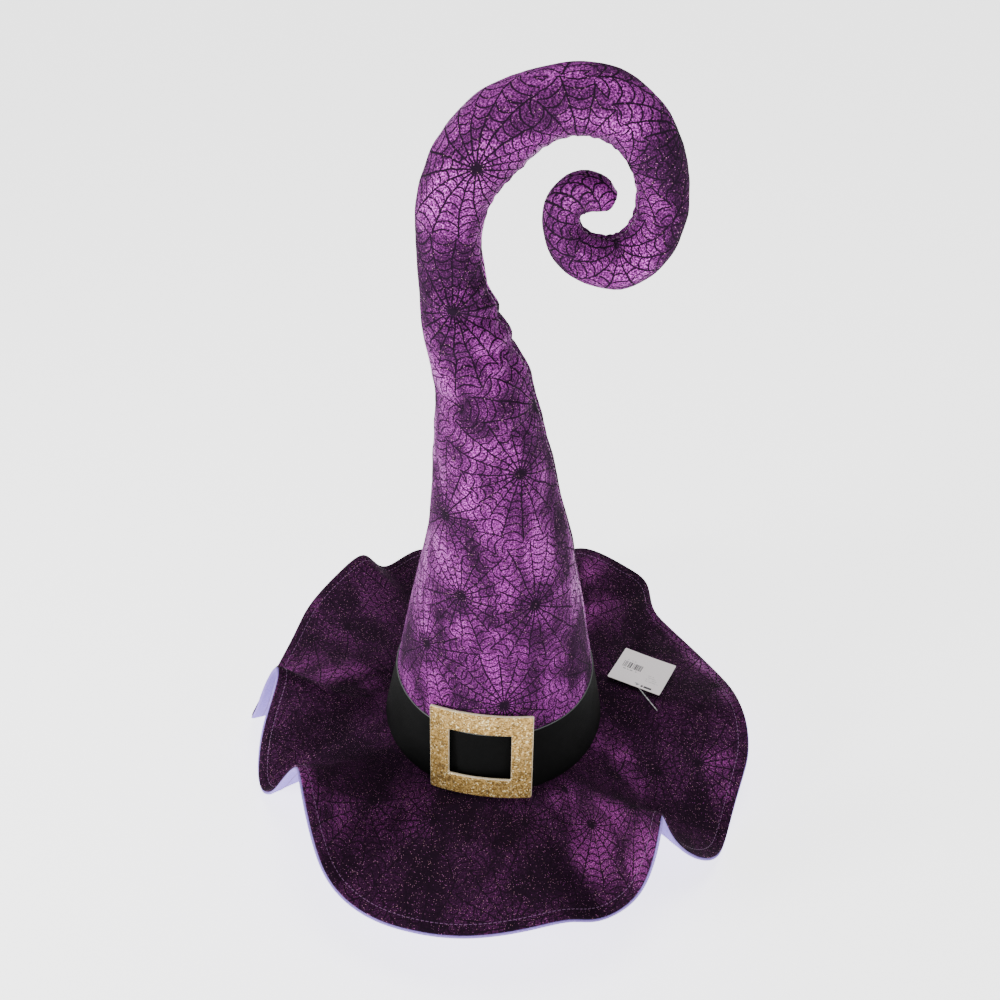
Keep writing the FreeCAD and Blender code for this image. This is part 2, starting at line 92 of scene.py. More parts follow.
# ------------------------------------------------------------------ materials
class Shader:
    """A node material, written as expressions."""

    def __init__(self, name):
        self.mat = bpy.data.materials.new(name)
        self.mat.use_nodes = True
        self.tree = self.mat.node_tree
        self.bsdf = self.tree.nodes["Principled BSDF"]

    def node(self, kind, **settings):
        n = self.tree.nodes.new(kind)
        for key, value in settings.items():
            setattr(n, key, value)
        return n

    def put(self, socket, value):
        if isinstance(value, bpy.types.NodeSocket):
            self.tree.links.new(value, socket)
        else:
            socket.default_value = value

    def math(self, op, a, b=0.0, c=0.0, clamp=False):
        n = self.node("ShaderNodeMath", operation=op, use_clamp=clamp)
        for socket, value in zip(n.inputs, (a, b, c)):
            self.put(socket, value)
        return n.outputs[0]

    def vector(self, op, a, b=(0, 0, 0), scale=None, out=0):
        n = self.node("ShaderNodeVectorMath", operation=op)
        self.put(n.inputs[0], a)
        if scale is None:
            self.put(n.inputs[1], b)
        else:
            self.put(n.inputs["Scale"], scale)
        return n.outputs[out]

    def uv(self):
        return self.node("ShaderNodeUVMap", uv_map="cloth").outputs[0]

    def place(self):
        return self.node("ShaderNodeTexCoord").outputs["Object"]

    def value_of(self, name):
        return self.node("ShaderNodeAttribute", attribute_name=name).outputs["Fac"]

    def noise(self, at, scale, detail=2.0, rough=0.5, out="Fac"):
        n = self.node("ShaderNodeTexNoise", noise_dimensions="3D")
        self.put(n.inputs["Vector"], at)
        n.inputs["Scale"].default_value = scale
        n.inputs["Detail"].default_value = detail
        n.inputs["Roughness"].default_value = rough
        return n.outputs[out]

    def cells(self, at, scale, spread=1.0, dims="3D", feature="F1"):
        n = self.node("ShaderNodeTexVoronoi", voronoi_dimensions=dims, feature=feature)
        self.put(n.inputs["Vector"], at)
        n.inputs["Scale"].default_value = scale
        n.inputs["Randomness"].default_value = spread
        return n

    def span(self, x, lo, hi, out_lo=0.0, out_hi=1.0):
        n = self.node("ShaderNodeMapRange", interpolation_type="SMOOTHSTEP")
        for socket, value in zip(n.inputs, (x, lo, hi, out_lo, out_hi)):
            self.put(socket, value)
        return n.outputs[0]

    def mix(self, share, a, b):
        n = self.node("ShaderNodeMix", data_type="RGBA")
        self.put(n.inputs[0], share)
        for socket, value in ((n.inputs[6], a), (n.inputs[7], b)):
            self.put(socket, value if isinstance(value, bpy.types.NodeSocket) else (*value, 1.0))
        return n.outputs[2]

    def split(self, v):
        n = self.node("ShaderNodeSeparateXYZ")
        self.put(n.inputs[0], v)
        return n.outputs

    def bump(self, height, distance, strength=1.0):
        n = self.node("ShaderNodeBump")
        n.inputs["Distance"].default_value = distance
        n.inputs["Strength"].default_value = strength
        self.put(n.inputs["Height"], height)
        self.put(self.bsdf.inputs["Normal"], n.outputs[0])

    def finish(self, colour, rough, metal=0.0, sheen=0.0, tint=(1, 1, 1), level=0.5):
        b = self.bsdf.inputs
        if isinstance(colour, tuple):
            colour = (*colour, 1.0)
        self.put(b["Base Color"], colour)
        self.put(b["Roughness"], rough)
        self.put(b["Metallic"], metal)
        b["Sheen Weight"].default_value = sheen
        b["Sheen Tint"].default_value = (*tint, 1.0)
        b["Specular IOR Level"].default_value = level
        return self.mat


WEB_CELL = 0.078      # one printed web, metres
WEB_SPOKES = 19
WEB_PITCH = 0.0064    # between the rings of a web
WEB_LINE = 0.00055    # half the width of a printed line


def web_lines(sh, at):
    """1 on the printed threads of the spider webs, 0 between them."""
    wobble = sh.noise(at, 60, 2.0, out="Color")
    wobble = sh.vector("SCALE", sh.vector("SUBTRACT", wobble, (0.5, 0.5, 0.5)), scale=0.0038)
    at = sh.vector("ADD", at, wobble)
    cell = sh.cells(at, 1 / WEB_CELL, 0.7, dims="2D")
    out = sh.vector("SUBTRACT", at, cell.outputs["Position"])
    x, y, _ = sh.split(out)
    tone = sh.split(cell.outputs["Color"])
    r = sh.math("SQRT", sh.math("ADD", sh.math("MULTIPLY", x, x), sh.math("MULTIPLY", y, y)))
    turn = sh.math("ADD", sh.math("ARCTAN2", y, x), sh.math("MULTIPLY", tone[0], 6.0))
    spoke = sh.math("ADD", sh.math("MULTIPLY", turn, WEB_SPOKES / (2 * math.pi)), 50.0)
    spoke = sh.math("ADD", spoke, sh.math("MULTIPLY", sh.noise(at, 14, 1.0), 0.35))
    phase = sh.math("SUBTRACT", sh.math("FRACT", spoke), 0.5)
    gap = sh.math("SUBTRACT", 0.5, sh.math("ABSOLUTE", phase))
    wide = sh.math("MULTIPLY", sh.math("MULTIPLY", gap, r), 2 * math.pi / WEB_SPOKES)
    spokes = sh.span(wide, WEB_LINE * 0.6, WEB_LINE * 1.5, 1.0, 0.0)
    # threads between two spokes sag towards the middle, and each bay is spaced a little differently
    sag = sh.math("MULTIPLY", sh.math("MULTIPLY", phase, phase), 4.0)
    sag = sh.math("SUBTRACT", 1.0, sh.math("MULTIPLY", sh.math("SUBTRACT", 1.0, sag), 0.085))
    bay = sh.node("ShaderNodeTexWhiteNoise", noise_dimensions="1D")
    sh.put(bay.inputs["W"], sh.math("ADD", sh.math("FLOOR", spoke), sh.math("MULTIPLY", tone[1], 99)))
    ring = sh.math("DIVIDE", sh.math("DIVIDE", r, sag), WEB_PITCH)
    ring = sh.math("ADD", ring, sh.math("MULTIPLY", bay.outputs["Value"], 0.6))
    ring = sh.math("ABSOLUTE", sh.math("SUBTRACT", sh.math("FRACT", ring), 0.5))
    share = WEB_LINE / WEB_PITCH
    rings = sh.span(ring, 0.5 - share * 1.5, 0.5 - share * 0.6)
    lines = sh.math("MAXIMUM", spokes, rings)
    hub = sh.span(r, 0.003, 0.006, 1.0, 0.0)
    return sh.math("MAXIMUM", lines, hub)


def web_velvet(name, pile, foil_dark, foil_bright, amount, glint):
    """Velvet with a metallic spider-web foil print. amount is a socket or number, the foil left on it; as
    None it reads the foil attribute, which on the brim also holds painted highlights.
    """
    sh = Shader(name)
    at = sh.uv()
    lines = web_lines(sh, at)
    grain = sh.noise(at, 800, 3.0, 0.75)
    streak = sh.noise(sh.vector("MULTIPLY", at, (1.0, 0.4, 1.0)), 38, 3.0, 0.6)
    cloud = sh.noise(at, 13, 3.0, 0.6)
    # on the brim the foil attribute is partly the print's foil and partly painted highlight on the ridges
    if amount is None:
        amount = sh.value_of("foil")
    left = sh.span(cloud, 0.38, 0.56, 0.14, 1.0)
    left = sh.math("MULTIPLY", left, sh.span(streak, 0.36, 0.58, 0.3, 1.0))
    left = sh.math("MULTIPLY", left, amount)
    foil = sh.math("MULTIPLY", sh.math("SUBTRACT", 1.0, lines), left)
    foil = sh.math("MULTIPLY", foil, sh.span(grain, 0.36, 0.56, 0.22, 1.0))
    tone = sh.mix(sh.span(grain, 0.42, 0.68), foil_dark, foil_bright)
    colour = sh.mix(foil, pile, tone)
    # loose glitter caught in the pile
    speck = sh.cells(at, 1500, 1.0)
    pick = sh.split(speck.outputs["Color"])
    dot = sh.span(speck.outputs["Distance"], 0.25, 0.45, 1.0, 0.0)
    glitter = sh.math("MULTIPLY", dot, sh.span(pick[0], 0.94 - glint, 0.98 - glint))
    sparkle = sh.mix(pick[1], (0.48, 0.10, 0.46), (0.66, 0.36, 0.42))
    colour = sh.mix(glitter, colour, sparkle)
    shine = sh.math("MAXIMUM", foil, glitter)
    metal = sh.math("MULTIPLY", shine, 0.88)
    rough = sh.span(shine, 0.0, 1.0, 0.95, 0.40)
    pile_height = sh.noise(at, 1500, 2.0, 0.6)
    height = sh.math("ADD", sh.math("MULTIPLY", foil, 0.4), sh.math("MULTIPLY", pile_height, 0.6))
    height = sh.math("ADD", height, sh.math("MULTIPLY", sh.noise(at, 260, 2.0), 0.8))
    sh.bump(height, 0.0008, 0.85)
    return sh.finish(colour, rough, metal, level=0.08)


def felt(name, low, high, scale=700, sheen=0.25):
    sh = Shader(name)
    at = sh.place()
    fibres = sh.noise(sh.vector("MULTIPLY", at, (1.0, 2.2, 1.4)), scale, 4.0, 0.7)
    patch = sh.noise(at, 30, 3.0)
    colour = sh.mix(sh.span(fibres, 0.3, 0.7), low, high)
    colour = sh.mix(sh.span(patch, 0.35, 0.65, 0.0, 0.25), colour, low)
    sh.bump(sh.math("ADD", fibres, sh.math("MULTIPLY", patch, 0.6)), 0.0006, 0.7)
    return sh.finish(colour, 0.93, sheen=sheen, tint=high, level=0.2)


def woven(name, low, high, pitch, rough, sheen=0.1, depth=0.0002, level=0.4):
    """Plain weave seen up close: over and under threads at a real pitch."""
    sh = Shader(name)
    at = sh.uv()
    x, y, _ = sh.split(sh.vector("SCALE", at, scale=math.pi / pitch))
    warp = sh.math("MULTIPLY", sh.math("SINE", x), sh.math("SINE", y))
    weave = sh.math("MULTIPLY_ADD", warp, 0.5, 0.5)
    slub = sh.noise(sh.vector("MULTIPLY", at, (1.0, 14.0, 1.0)), 60, 3.0, 0.6)
    cloud = sh.noise(at, 22, 2.0)
    tone = sh.math("MULTIPLY", weave, sh.span(slub, 0.3, 0.7, 0.5, 1.0))
    colour = sh.mix(tone, low, high)
    worn = sh.span(cloud, 0.3, 0.7, rough - 0.06, rough + 0.06)
    height = sh.math("ADD", weave, sh.math("MULTIPLY", slub, 0.7))
    sh.bump(height, depth, 0.8)
    return sh.finish(colour, worn, sheen=sheen, tint=high, level=level)


def gold_glitter(name):
    """Glitter flakes glued on foam."""
    sh = Shader(name)
    at = sh.place()
    flake = sh.cells(at, 950)
    pick = sh.split(flake.outputs["Color"])
    big = sh.split(sh.cells(at, 430).outputs["Color"])
    tone = sh.mix(sh.span(pick[0], 0.0, 1.0), (0.20, 0.11, 0.025), (0.60, 0.38, 0.12))
    tone = sh.mix(sh.span(pick[1], 0.86, 0.95), tone, (0.95, 0.78, 0.42))
    tone = sh.mix(sh.span(big[2], 0.9, 0.97, 0.0, 0.7), tone, (0.13, 0.07, 0.02))
    rough = sh.span(pick[2], 0.0, 1.0, 0.28, 0.62)
    sh.bump(sh.math("ADD", pick[2], sh.math("MULTIPLY", big[0], 0.6)), 0.00035, 0.9)
    return sh.finish(tone, rough, 0.7)


def cut_foam(name):
    sh = Shader(name)
    at = sh.place()
    pores = sh.noise(at, 1400, 3.0, 0.7)
    colour = sh.mix(sh.span(pores, 0.35, 0.65), (0.52, 0.40, 0.22), (0.86, 0.76, 0.58))
    sh.bump(pores, 0.0003, 0.6)
    return sh.finish(colour, 0.85)


def thread(name, low, high):
    sh = Shader(name)
    at = sh.place()
    twist = sh.noise(sh.vector("MULTIPLY", at, (1.0, 1.0, 3.0)), 1600, 2.0)
    sh.bump(twist, 0.0002, 0.7)
    return sh.finish(sh.mix(sh.span(twist, 0.35, 0.65), low, high), 0.55, sheen=0.2)


def brushed_wire(name):
    sh = Shader(name)
    at = sh.place()
    drawn = sh.noise(sh.vector("MULTIPLY", at, (1.0, 1.0, 0.1)), 2500, 2.0)
    sh.bump(drawn, 0.00005, 0.4)
    colour = sh.mix(drawn, (0.32, 0.32, 0.34), (0.58, 0.58, 0.60))
    return sh.finish(colour, sh.span(drawn, 0.3, 0.7, 0.25, 0.42), 1.0)


def plastic(name, low=(0.70, 0.72, 0.74), high=(0.86, 0.87, 0.88), rough=0.28, clear=0.55, ripple=500):
    sh = Shader(name)
    at = sh.place()
    haze = sh.noise(at, ripple, 2.0)
    sh.bump(haze, 0.015 / ripple, 0.3)
    mat = sh.finish(sh.mix(haze, low, high), sh.span(haze, 0.3, 0.7, rough - 0.05, rough + 0.05))
    sh.bsdf.inputs["Transmission Weight"].default_value = clear
    return mat


def printed_card(name):
    """Card with a generic bar code, rows of dashes and marks and a barred block; no lettering."""
    sh = Shader(name)
    at = sh.uv()
    x, y, _ = sh.split(at)

    def inside(x0, x1, y0, y1):
        soft = 0.00008
        a = sh.math("MULTIPLY", sh.span(x, x0 - soft, x0 + soft), sh.span(x, x1 - soft, x1 + soft, 1.0, 0.0))
        b = sh.math("MULTIPLY", sh.span(y, y0 - soft, y0 + soft), sh.span(y, y1 - soft, y1 + soft, 1.0, 0.0))
        return sh.math("MULTIPLY", a, b)

    def bars(along, pitch, full):
        n = sh.node("ShaderNodeTexWhiteNoise", noise_dimensions="1D")
        sh.put(n.inputs["W"], sh.math("FLOOR", sh.math("DIVIDE", along, pitch)))
        return sh.math("LESS_THAN", n.outputs["Value"], full)

    ink = sh.math("MULTIPLY", bars(x, 0.00042, 0.55), inside(-0.0215, -0.0035, 0.0185, 0.0275))
    for row, share, dark in ((0.0155, 0.6, 0.75), (0.0295, 0.35, 0.4)):
        dash = sh.math("MULTIPLY", bars(x, 0.0013, share), inside(-0.0205, -0.0065, row, row + 0.0011))
        ink = sh.math("MAXIMUM", ink, sh.math("MULTIPLY", dash, dark))
    for k in range(4):
        row = 0.0085 + 0.0028 * k
        marks = bars(sh.math("ADD", x, 0.11 * k), 0.0011, 0.7)
        dash = sh.math("MULTIPLY", marks, inside(0.004, 0.0165 - 0.002 * k, row, row + 0.0009))
        ink = sh.math("MAXIMUM", ink, sh.math("MULTIPLY", dash, 0.35))
    block = inside(0.0035, 0.0145, -0.0018, 0.0009)
    ink = sh.math("MAXIMUM", ink, sh.math("MULTIPLY", block, bars(x, 0.0009, 0.8)))
    paper = sh.noise(at, 900, 3.0, 0.6)
    card = sh.mix(sh.span(paper, 0.3, 0.7), (0.90, 0.83, 0.83), (0.97, 0.92, 0.92))
    sh.bump(paper, 0.00006, 0.4)
    return sh.finish(sh.mix(ink, card, (0.05, 0.04, 0.05)), 0.42)


def plain_paper(name):
    sh = Shader(name)
    at = sh.place()
    paper = sh.noise(at, 900, 3.0, 0.6)
    sh.bump(paper, 0.00006, 0.4)
    return sh.finish(sh.mix(paper, (0.62, 0.56, 0.52), (0.80, 0.74, 0.70)), 0.7)


PILE = (0.0095, 0.003, 0.011)
# the brim's pile, a little darker than the crown's same velvet: painted shade on the brim
PILE_SHADED = (0.0085, 0.003, 0.009)
M = {
    "crown": web_velvet("web_velvet", PILE, (0.10, 0.007, 0.11), (0.74, 0.11, 0.72), 1.0, 0.004),
    # the brim's velvet takes the darker pile, which is painted shade
    "brim": web_velvet("brim_velvet", PILE_SHADED, (0.10, 0.010, 0.10), (0.70, 0.12, 0.62), None, 0.03),
    "felt": felt("lavender_felt", (0.20, 0.13, 0.47), (0.34, 0.25, 0.68)),
    "fill": felt("fibre_fill", (0.62, 0.61, 0.58), (0.88, 0.87, 0.84), 380),
    "non_woven": felt("non_woven", (0.52, 0.50, 0.46), (0.72, 0.70, 0.66), 500, 0.05),
    "band": woven("black_satin", (0.0007, 0.0008, 0.0009), (0.0022, 0.0024, 0.0024), 0.0007, 0.8,
                  sheen=0.0, level=0.12),
    "band_edge": woven("black_satin_cut", (0.05, 0.055, 0.055), (0.16, 0.17, 0.17), 0.0007, 0.8),
    "ribbon": woven("black_ribbon", (0.003, 0.003, 0.003), (0.022, 0.022, 0.024), 0.0011, 0.55),
    "lining": woven("lining_cloth", (0.004, 0.004, 0.005), (0.024, 0.024, 0.028), 0.0005, 0.6),
    "gold": gold_glitter("gold_glitter"),
    "foam": cut_foam("gold_foam_cut"),
    "thread": thread("seam_thread", (0.07, 0.018, 0.08), (0.20, 0.075, 0.21)),
    "pale_thread": thread("seam_thread_pale", (0.16, 0.07, 0.16), (0.40, 0.24, 0.38)),
    "dark_thread": thread("seam_thread_dark", (0.008, 0.008, 0.009), (0.04, 0.04, 0.045)),
    "wire": brushed_wire("steel_wire"),
    "plastic": plastic("clear_plastic"),
    "glue": plastic("hot_glue", (0.60, 0.52, 0.36), (0.80, 0.74, 0.58), 0.35, 0.35, 260),
    "card": printed_card("tag_card"),
    "card_edge": plain_paper("tag_card_edge"),
}


# ------------------------------------------------------------------ mesh helpers
def dress(piece, solid=None, body="crown"):
    """Rides on a body, and stands for a CAD solid if one is named."""
    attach(piece, body)
    if solid:
        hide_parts(solid)


def mesh_piece(name, verts, faces, mats, uvs=None, face_mats=None, normals=None, values=None):
    """uvs holds one (u, v) a vertex, or one list of them a face."""
    mesh = bpy.data.meshes.new(name)
    mesh.from_pydata([tuple(v) for v in verts], [], [tuple(f) for f in faces])
    for m in mats:
        mesh.materials.append(m)
    if face_mats is not None:
        mesh.polygons.foreach_set("material_index", face_mats)
    mesh.polygons.foreach_set("use_smooth", [True] * len(mesh.polygons))
    if uvs is not None:
        layer = mesh.uv_layers.new(name="cloth")
        if len(uvs) == len(verts):
            loops = np.zeros(len(mesh.loops), np.int32)
            mesh.loops.foreach_get("vertex_index", loops)
            flat = np.asarray(uvs, np.float32)[loops]
        else:
            flat = np.asarray(uvs, np.float32)
        layer.data.foreach_set("uv", flat.ravel())
    for key, data in (values or {}).items():
        mesh.attributes.new(key, "FLOAT", "POINT").data.foreach_set("value", np.asarray(data, np.float32))
    mesh.update()
    if normals is not None:
        mesh.normals_split_custom_set_from_vertices([tuple(n) for n in normals])
    obj = bpy.data.objects.new(name, mesh)
    bpy.context.scene.collection.objects.link(obj)
    return obj


def grid_faces(rows, cols, wrap_rows=False, wrap_cols=False, flip=False):
    """Quads of a rows by cols grid whose vertices are numbered row by row."""
    out = []
    for r in range(rows if wrap_rows else rows - 1):
        for c in range(cols if wrap_cols else cols - 1):
            a, b = r * cols + c, r * cols + (c + 1) % cols
            d, e = (r + 1) % rows * cols + c, (r + 1) % rows * cols + (c + 1) % cols
            out.append((a, d, e, b) if flip else (a, b, e, d))
    return out


def soft_noise(points, scale, seed=0.0, octaves=2):
    """Smooth noise, about -1 to 1, at each point of an (n, 3) array."""
    shift = Vector((seed, seed * 1.7, -seed * 0.6))
    out = np.zeros(len(points))
    for o in range(octaves):
        k = scale * 2 ** o
        out += [noise.noise(Vector(p) * k + shift) / 2 ** o for p in points]
    return out


def bell(x, width):
    return np.exp(-(x / width) ** 2)


def stitches(name, path, normals, mat, length, gap, radius, lift=0.0, ring=6):
    """Short thread stitches along a path of points, each sunk into the cloth at its two ends."""
    path, normals = np.asarray(path), np.asarray(normals)
    run = np.r_[0, np.cumsum(np.linalg.norm(np.diff(path, axis=0), axis=1))]
    verts, faces = [], []
    at = gap
    shape = [(0.0, 0.35, -0.6), (0.12, 0.85, -0.1), (0.35, 1.0, 0.45),
             (0.65, 1.0, 0.45), (0.88, 0.85, -0.1), (1.0, 0.35, -0.6)]
    while at + length < run[-1]:
        base = len(verts)
        for share, fat, rise in shape:
            want = at + share * length
            p = np.array([np.interp(want, run, path[:, k]) for k in range(3)])
            q = np.array([np.interp(want + 1e-4, run, path[:, k]) for k in range(3)])
            n = np.array([np.interp(want, run, normals[:, k]) for k in range(3)])
            n /= np.linalg.norm(n)
            t = (q - p) / np.linalg.norm(q - p)
            side = np.cross(t, n)
            for k in range(ring):
                a = 2 * math.pi * k / ring
                spoke = side * math.cos(a) + n * math.sin(a)
                verts.append(p + n * (lift + radius * rise) + radius * fat * spoke)
        faces += [tuple(base + i for i in f) for f in grid_faces(len(shape), ring, wrap_cols=True)]
        faces.append(tuple(base + k for k in reversed(range(ring))))
        faces.append(tuple(base + (len(shape) - 1) * ring + k for k in range(ring)))
        at += length + gap
    return mesh_piece(name, verts, faces, [mat])


# ------------------------------------------------------------------ splines
def bends_of(points, gaps, closed, start=None, end=None):
    """Second derivatives of the cubic spline through the points."""
    m = len(points)
    matrix, rhs = np.zeros((m, m)), np.zeros(points.shape)
    for i in range(m):
        if not closed and i in (0, m - 1):
            h = gaps[0] if i == 0 else gaps[-1]
            j = 1 if i == 0 else m - 2
            matrix[i, i], matrix[i, j] = 2 * h, h
            chord = (points[1] - points[0]) / h if i == 0 else (points[-1] - points[-2]) / h
            rhs[i] = 6 * (chord - start) if i == 0 else 6 * (end - chord)
            continue
        h0, h1 = gaps[i - 1], gaps[i]
        matrix[i, (i - 1) % m] += h0
        matrix[i, i] += 2 * (h0 + h1)
        matrix[i, (i + 1) % m] += h1
        rhs[i] = 6 * ((points[(i + 1) % m] - points[i]) / h1 - (points[i] - points[i - 1]) / h0)
    return np.linalg.solve(matrix, rhs)


def sample_spline(points, power, closed, start=None, end=None, fine=60):
    m = len(points)
    count = m if closed else m - 1
    gaps = np.array([np.linalg.norm(points[(i + 1) % m] - points[i]) ** power for i in range(count)])
    bend = bends_of(points, gaps, closed, start, end)
    out = []
    for i in range(count):
        j, h = (i + 1) % m, gaps[i]
        for k in range(fine):
            b = k / fine
            a = 1 - b
            p = a * points[i] + b * points[j]
            out.append(p + ((a ** 3 - a) * bend[i] + (b ** 3 - b) * bend[j]) * h * h / 6)
    if not closed:
        out.append(points[-1])
    return np.array(out)


# ------------------------------------------------------------------ crown and curl
CROWN_R, SLOPE = 95.0, 0.194
BAND_TOP, CONE_TOP = 57.4, 175.0
CLOTH_T, CLOTH_R = 0.9, 94.0
# middle of the stuffed tube in the plane Y = 0, (x, z, radius), mm
SPINE = [
    (0.0, 175.0, 60.05), (-1.2, 205.0, 54.2), (-4.2, 245.0, 47.6), (-9.0, 290.0, 40.4),
    (-14.0, 330.0, 34.8), (-24.5, 366.0, 29.8), (-33.4, 399.0, 24.6), (-38.2, 433.0, 21.2),
    (-36.5, 464.0, 21.8), (-26.6, 491.0, 24.4), (-10.0, 511.0, 24.8), (12.0, 526.5, 22.6),
    (36.4, 533.0, 21.0), (60.0, 530.0, 20.2), (80.0, 515.5, 18.4), (92.0, 492.0, 16.8),
    (95.5, 465.0, 16.8), (88.5, 443.5, 17.0), (71.2, 430.0, 17.6), (53.0, 432.5, 16.0),
    (38.5, 443.5, 13.4), (32.7, 458.0, 12.0), (36.0, 471.0, 12.4), (46.5, 477.5, 12.6),
    (58.0, 475.0, 10.2), (63.0, 472.5, 7.4),
]
RING = 112              # points round the tube
STATION = 2.6           # mm between rings
CUTS = [338.0, (-20.0, 499.0), (94.5, 474.0), (42.5, 439.0)]   # where one cloth piece meets the next


def crown_stations():
    """Centre (x, z), tangent, radius and run along the crown and curl, a ring every STATION."""
    pts = np.array([(x, z) for x, z, _ in SPINE])
    fine = sample_spline(pts, 1.0, False, np.array((0.0, 1.0)), np.array((0.94, -0.35)))
    radii = np.array([r for _, _, r in SPINE])
    u = np.linspace(0, len(SPINE) - 1, len(fine))
    slope = np.gradient(radii)
    slope[0] = radii[1] - radii[0]
    k = np.minimum(u.astype(int), len(SPINE) - 2)
    t = u - k
    r = ((2 * t ** 3 - 3 * t ** 2 + 1) * radii[k] + (t ** 3 - 2 * t ** 2 + t) * slope[k]
         + (3 * t ** 2 - 2 * t ** 3) * radii[k + 1] + (t ** 3 - t ** 2) * slope[k + 1])
    low = np.arange(0.6, CONE_TOP - 0.5, 1.0)
    line = np.vstack([np.c_[low * 0, low], fine])
    r = np.r_[CLOTH_R - SLOPE * low, r]
    run = np.r_[0, np.cumsum(np.linalg.norm(np.diff(line, axis=0), axis=1))]
    want = np.linspace(0, run[-1], int(run[-1] / STATION))
    mid = np.c_[np.interp(want, run, line[:, 0]), np.interp(want, run, line[:, 1])]
    tan = np.gradient(mid, axis=0)
    for _ in range(3):
        tan[1:-1] = (tan[:-2] + 2 * tan[1:-1] + tan[2:]) / 4
    tan /= np.linalg.norm(tan, axis=1, keepdims=True)
    return mid, tan, np.interp(want, run, r), want


MID, TAN, RADIUS, RUN = crown_stations()
THETA = 2 * math.pi * np.arange(RING) / RING
SEAM_LOW, SEAM_HIGH = -4.0, -6.0      # where the seam runs, degrees from the inside of the curl


def near_station(point):
    """The station closest to a point (x, z), or to a height on the way up."""
    if not hasattr(point, "__len__"):
        up = np.argmax(MID[:, 1] > point)
        return int(up)
    return int(np.argmin(np.linalg.norm(MID - np.array(point), axis=1)))


def ring_points(grow):
    """(station, angle, xyz) of the tube grown by a (station, angle) array, mm."""
    n = np.c_[TAN[:, 1], -TAN[:, 0]]
    r = RADIUS[:, None] + grow
    c, s = np.cos(THETA), np.sin(THETA)
    x = MID[:, None, 0] + r * c * n[:, None, 0]
    z = MID[:, None, 1] + r * c * n[:, None, 1]
    return np.stack([x, r * s, z], axis=2)


def angle_gap(a, b):
    return (a - b + math.pi) % (2 * math.pi) - math.pi


SEAM_AT = np.radians(np.interp(RUN, [0, 260, 420], [SEAM_LOW, SEAM_LOW, SEAM_HIGH]))


def cloth_relief():
    """How far the cloth stands off a plain tube: dents, creases at the bends, and the sewn seam."""
    flat = ring_points(0.0)
    shape = flat.shape[:2]
    pts = flat.reshape(-1, 3)
    stuffed = np.clip((RUN - 170) / 90, 0, 1)[:, None]
    free = np.clip((RUN - BAND_TOP - 2) / 25, 0, 1)[:, None]
    soft = soft_noise(pts, 0.022, 3.1, 2).reshape(shape)
    lumpy = soft_noise(pts, 0.07, 9.4, 2).reshape(shape)
    relief = free * (0.7 + 0.7 * soft) * (1 - stuffed) + stuffed * (1.5 * soft + 0.55 * lumpy)
    # cross creases where the tube bends: most at the neck, finer ones inside the arch
    th = THETA[None, :]
    run = RUN[:, None]
    inner = bell(angle_gap(th, 0.0), 0.95)
    front = bell(angle_gap(th, -1.2), 0.9)
    for at, slant, wide, deep in NECK_CREASES:
        along = run - at - slant * angle_gap(th, -0.7)
        fold = bell(along, wide) - 0.6 * bell(along - 2.1 * wide, wide * 1.1)
        relief = relief - deep * (0.35 * inner + front) * fold
    wave = np.sin(2 * math.pi * run / 13.0 + 1.6 * soft * 2) * 0.5
    wave = wave + np.sin(2 * math.pi * run / 8.3 + 2.1 * lumpy) * 0.3
    arch = np.clip((run - 430) / 60, 0, 1)
    thin = np.clip(RADIUS[:, None] / 20, 0.5, 1)
    relief = relief + arch * wave * bell(angle_gap(th, 0.0), 0.75) * 0.75 * thin
    gap = angle_gap(th, SEAM_AT[:, None]) * RADIUS[:, None]
    pucker = 1 + 0.5 * np.sin(2 * math.pi * run / 6.5)
    relief = relief - free * (0.9 * bell(gap, 2.2) * pucker - 0.55 * bell(np.abs(gap) - 4.2, 2.4))
    return relief


# creases across the front of the neck: run along the tube, slant, width and depth, mm
NECK_CREASES = [
    (352, 8, 4.0, 2.4), (366, -5, 4.6, 3.0), (379, 5, 3.6, 2.0), (392, -9, 4.4, 2.6),
    (405, 5, 4.0, 1.5), (334, -6, 5.0, 1.5), (314, 7, 5.5, 1.0), (421, -4, 5.0, 1.2),
]
RELIEF = cloth_relief()
SURFACE = ring_points(RELIEF)


def surface_normals(grid):
    around = np.roll(grid, -1, axis=1) - np.roll(grid, 1, axis=1)
    along = np.gradient(grid, axis=0)
    n = np.cross(around, along)
    return n / np.linalg.norm(n, axis=2, keepdims=True)


NORMALS = surface_normals(SURFACE)


def cloth_uvs():
    """Flat place of each ring point on the printed cloth, metres; the print is cut at the seam."""
    fall = np.gradient(RADIUS, RUN)
    box = np.ones(25) / 25
    fall = np.convolve(np.pad(fall, 12, mode="edge"), box, mode="valid")
    turn = np.zeros((len(RUN), RING + 1))
    for i in range(RING + 1):
        a = 2 * math.pi * i / RING
        turn[:, i] = a
    start = SEAM_AT[:, None]
    back = (turn - start) % (2 * math.pi) - 2 * math.pi      # -2 pi .. 0 away from the seam
    phi = back - (-math.pi / 2 - start)
    u = phi * RADIUS[:, None]
    v = RUN[:, None] - 0.5 * RADIUS[:, None] * phi ** 2 * fall[:, None]
    return phi, np.stack([u, v], axis=2) * MM


PHI, CLOTH_UV = cloth_uvs()


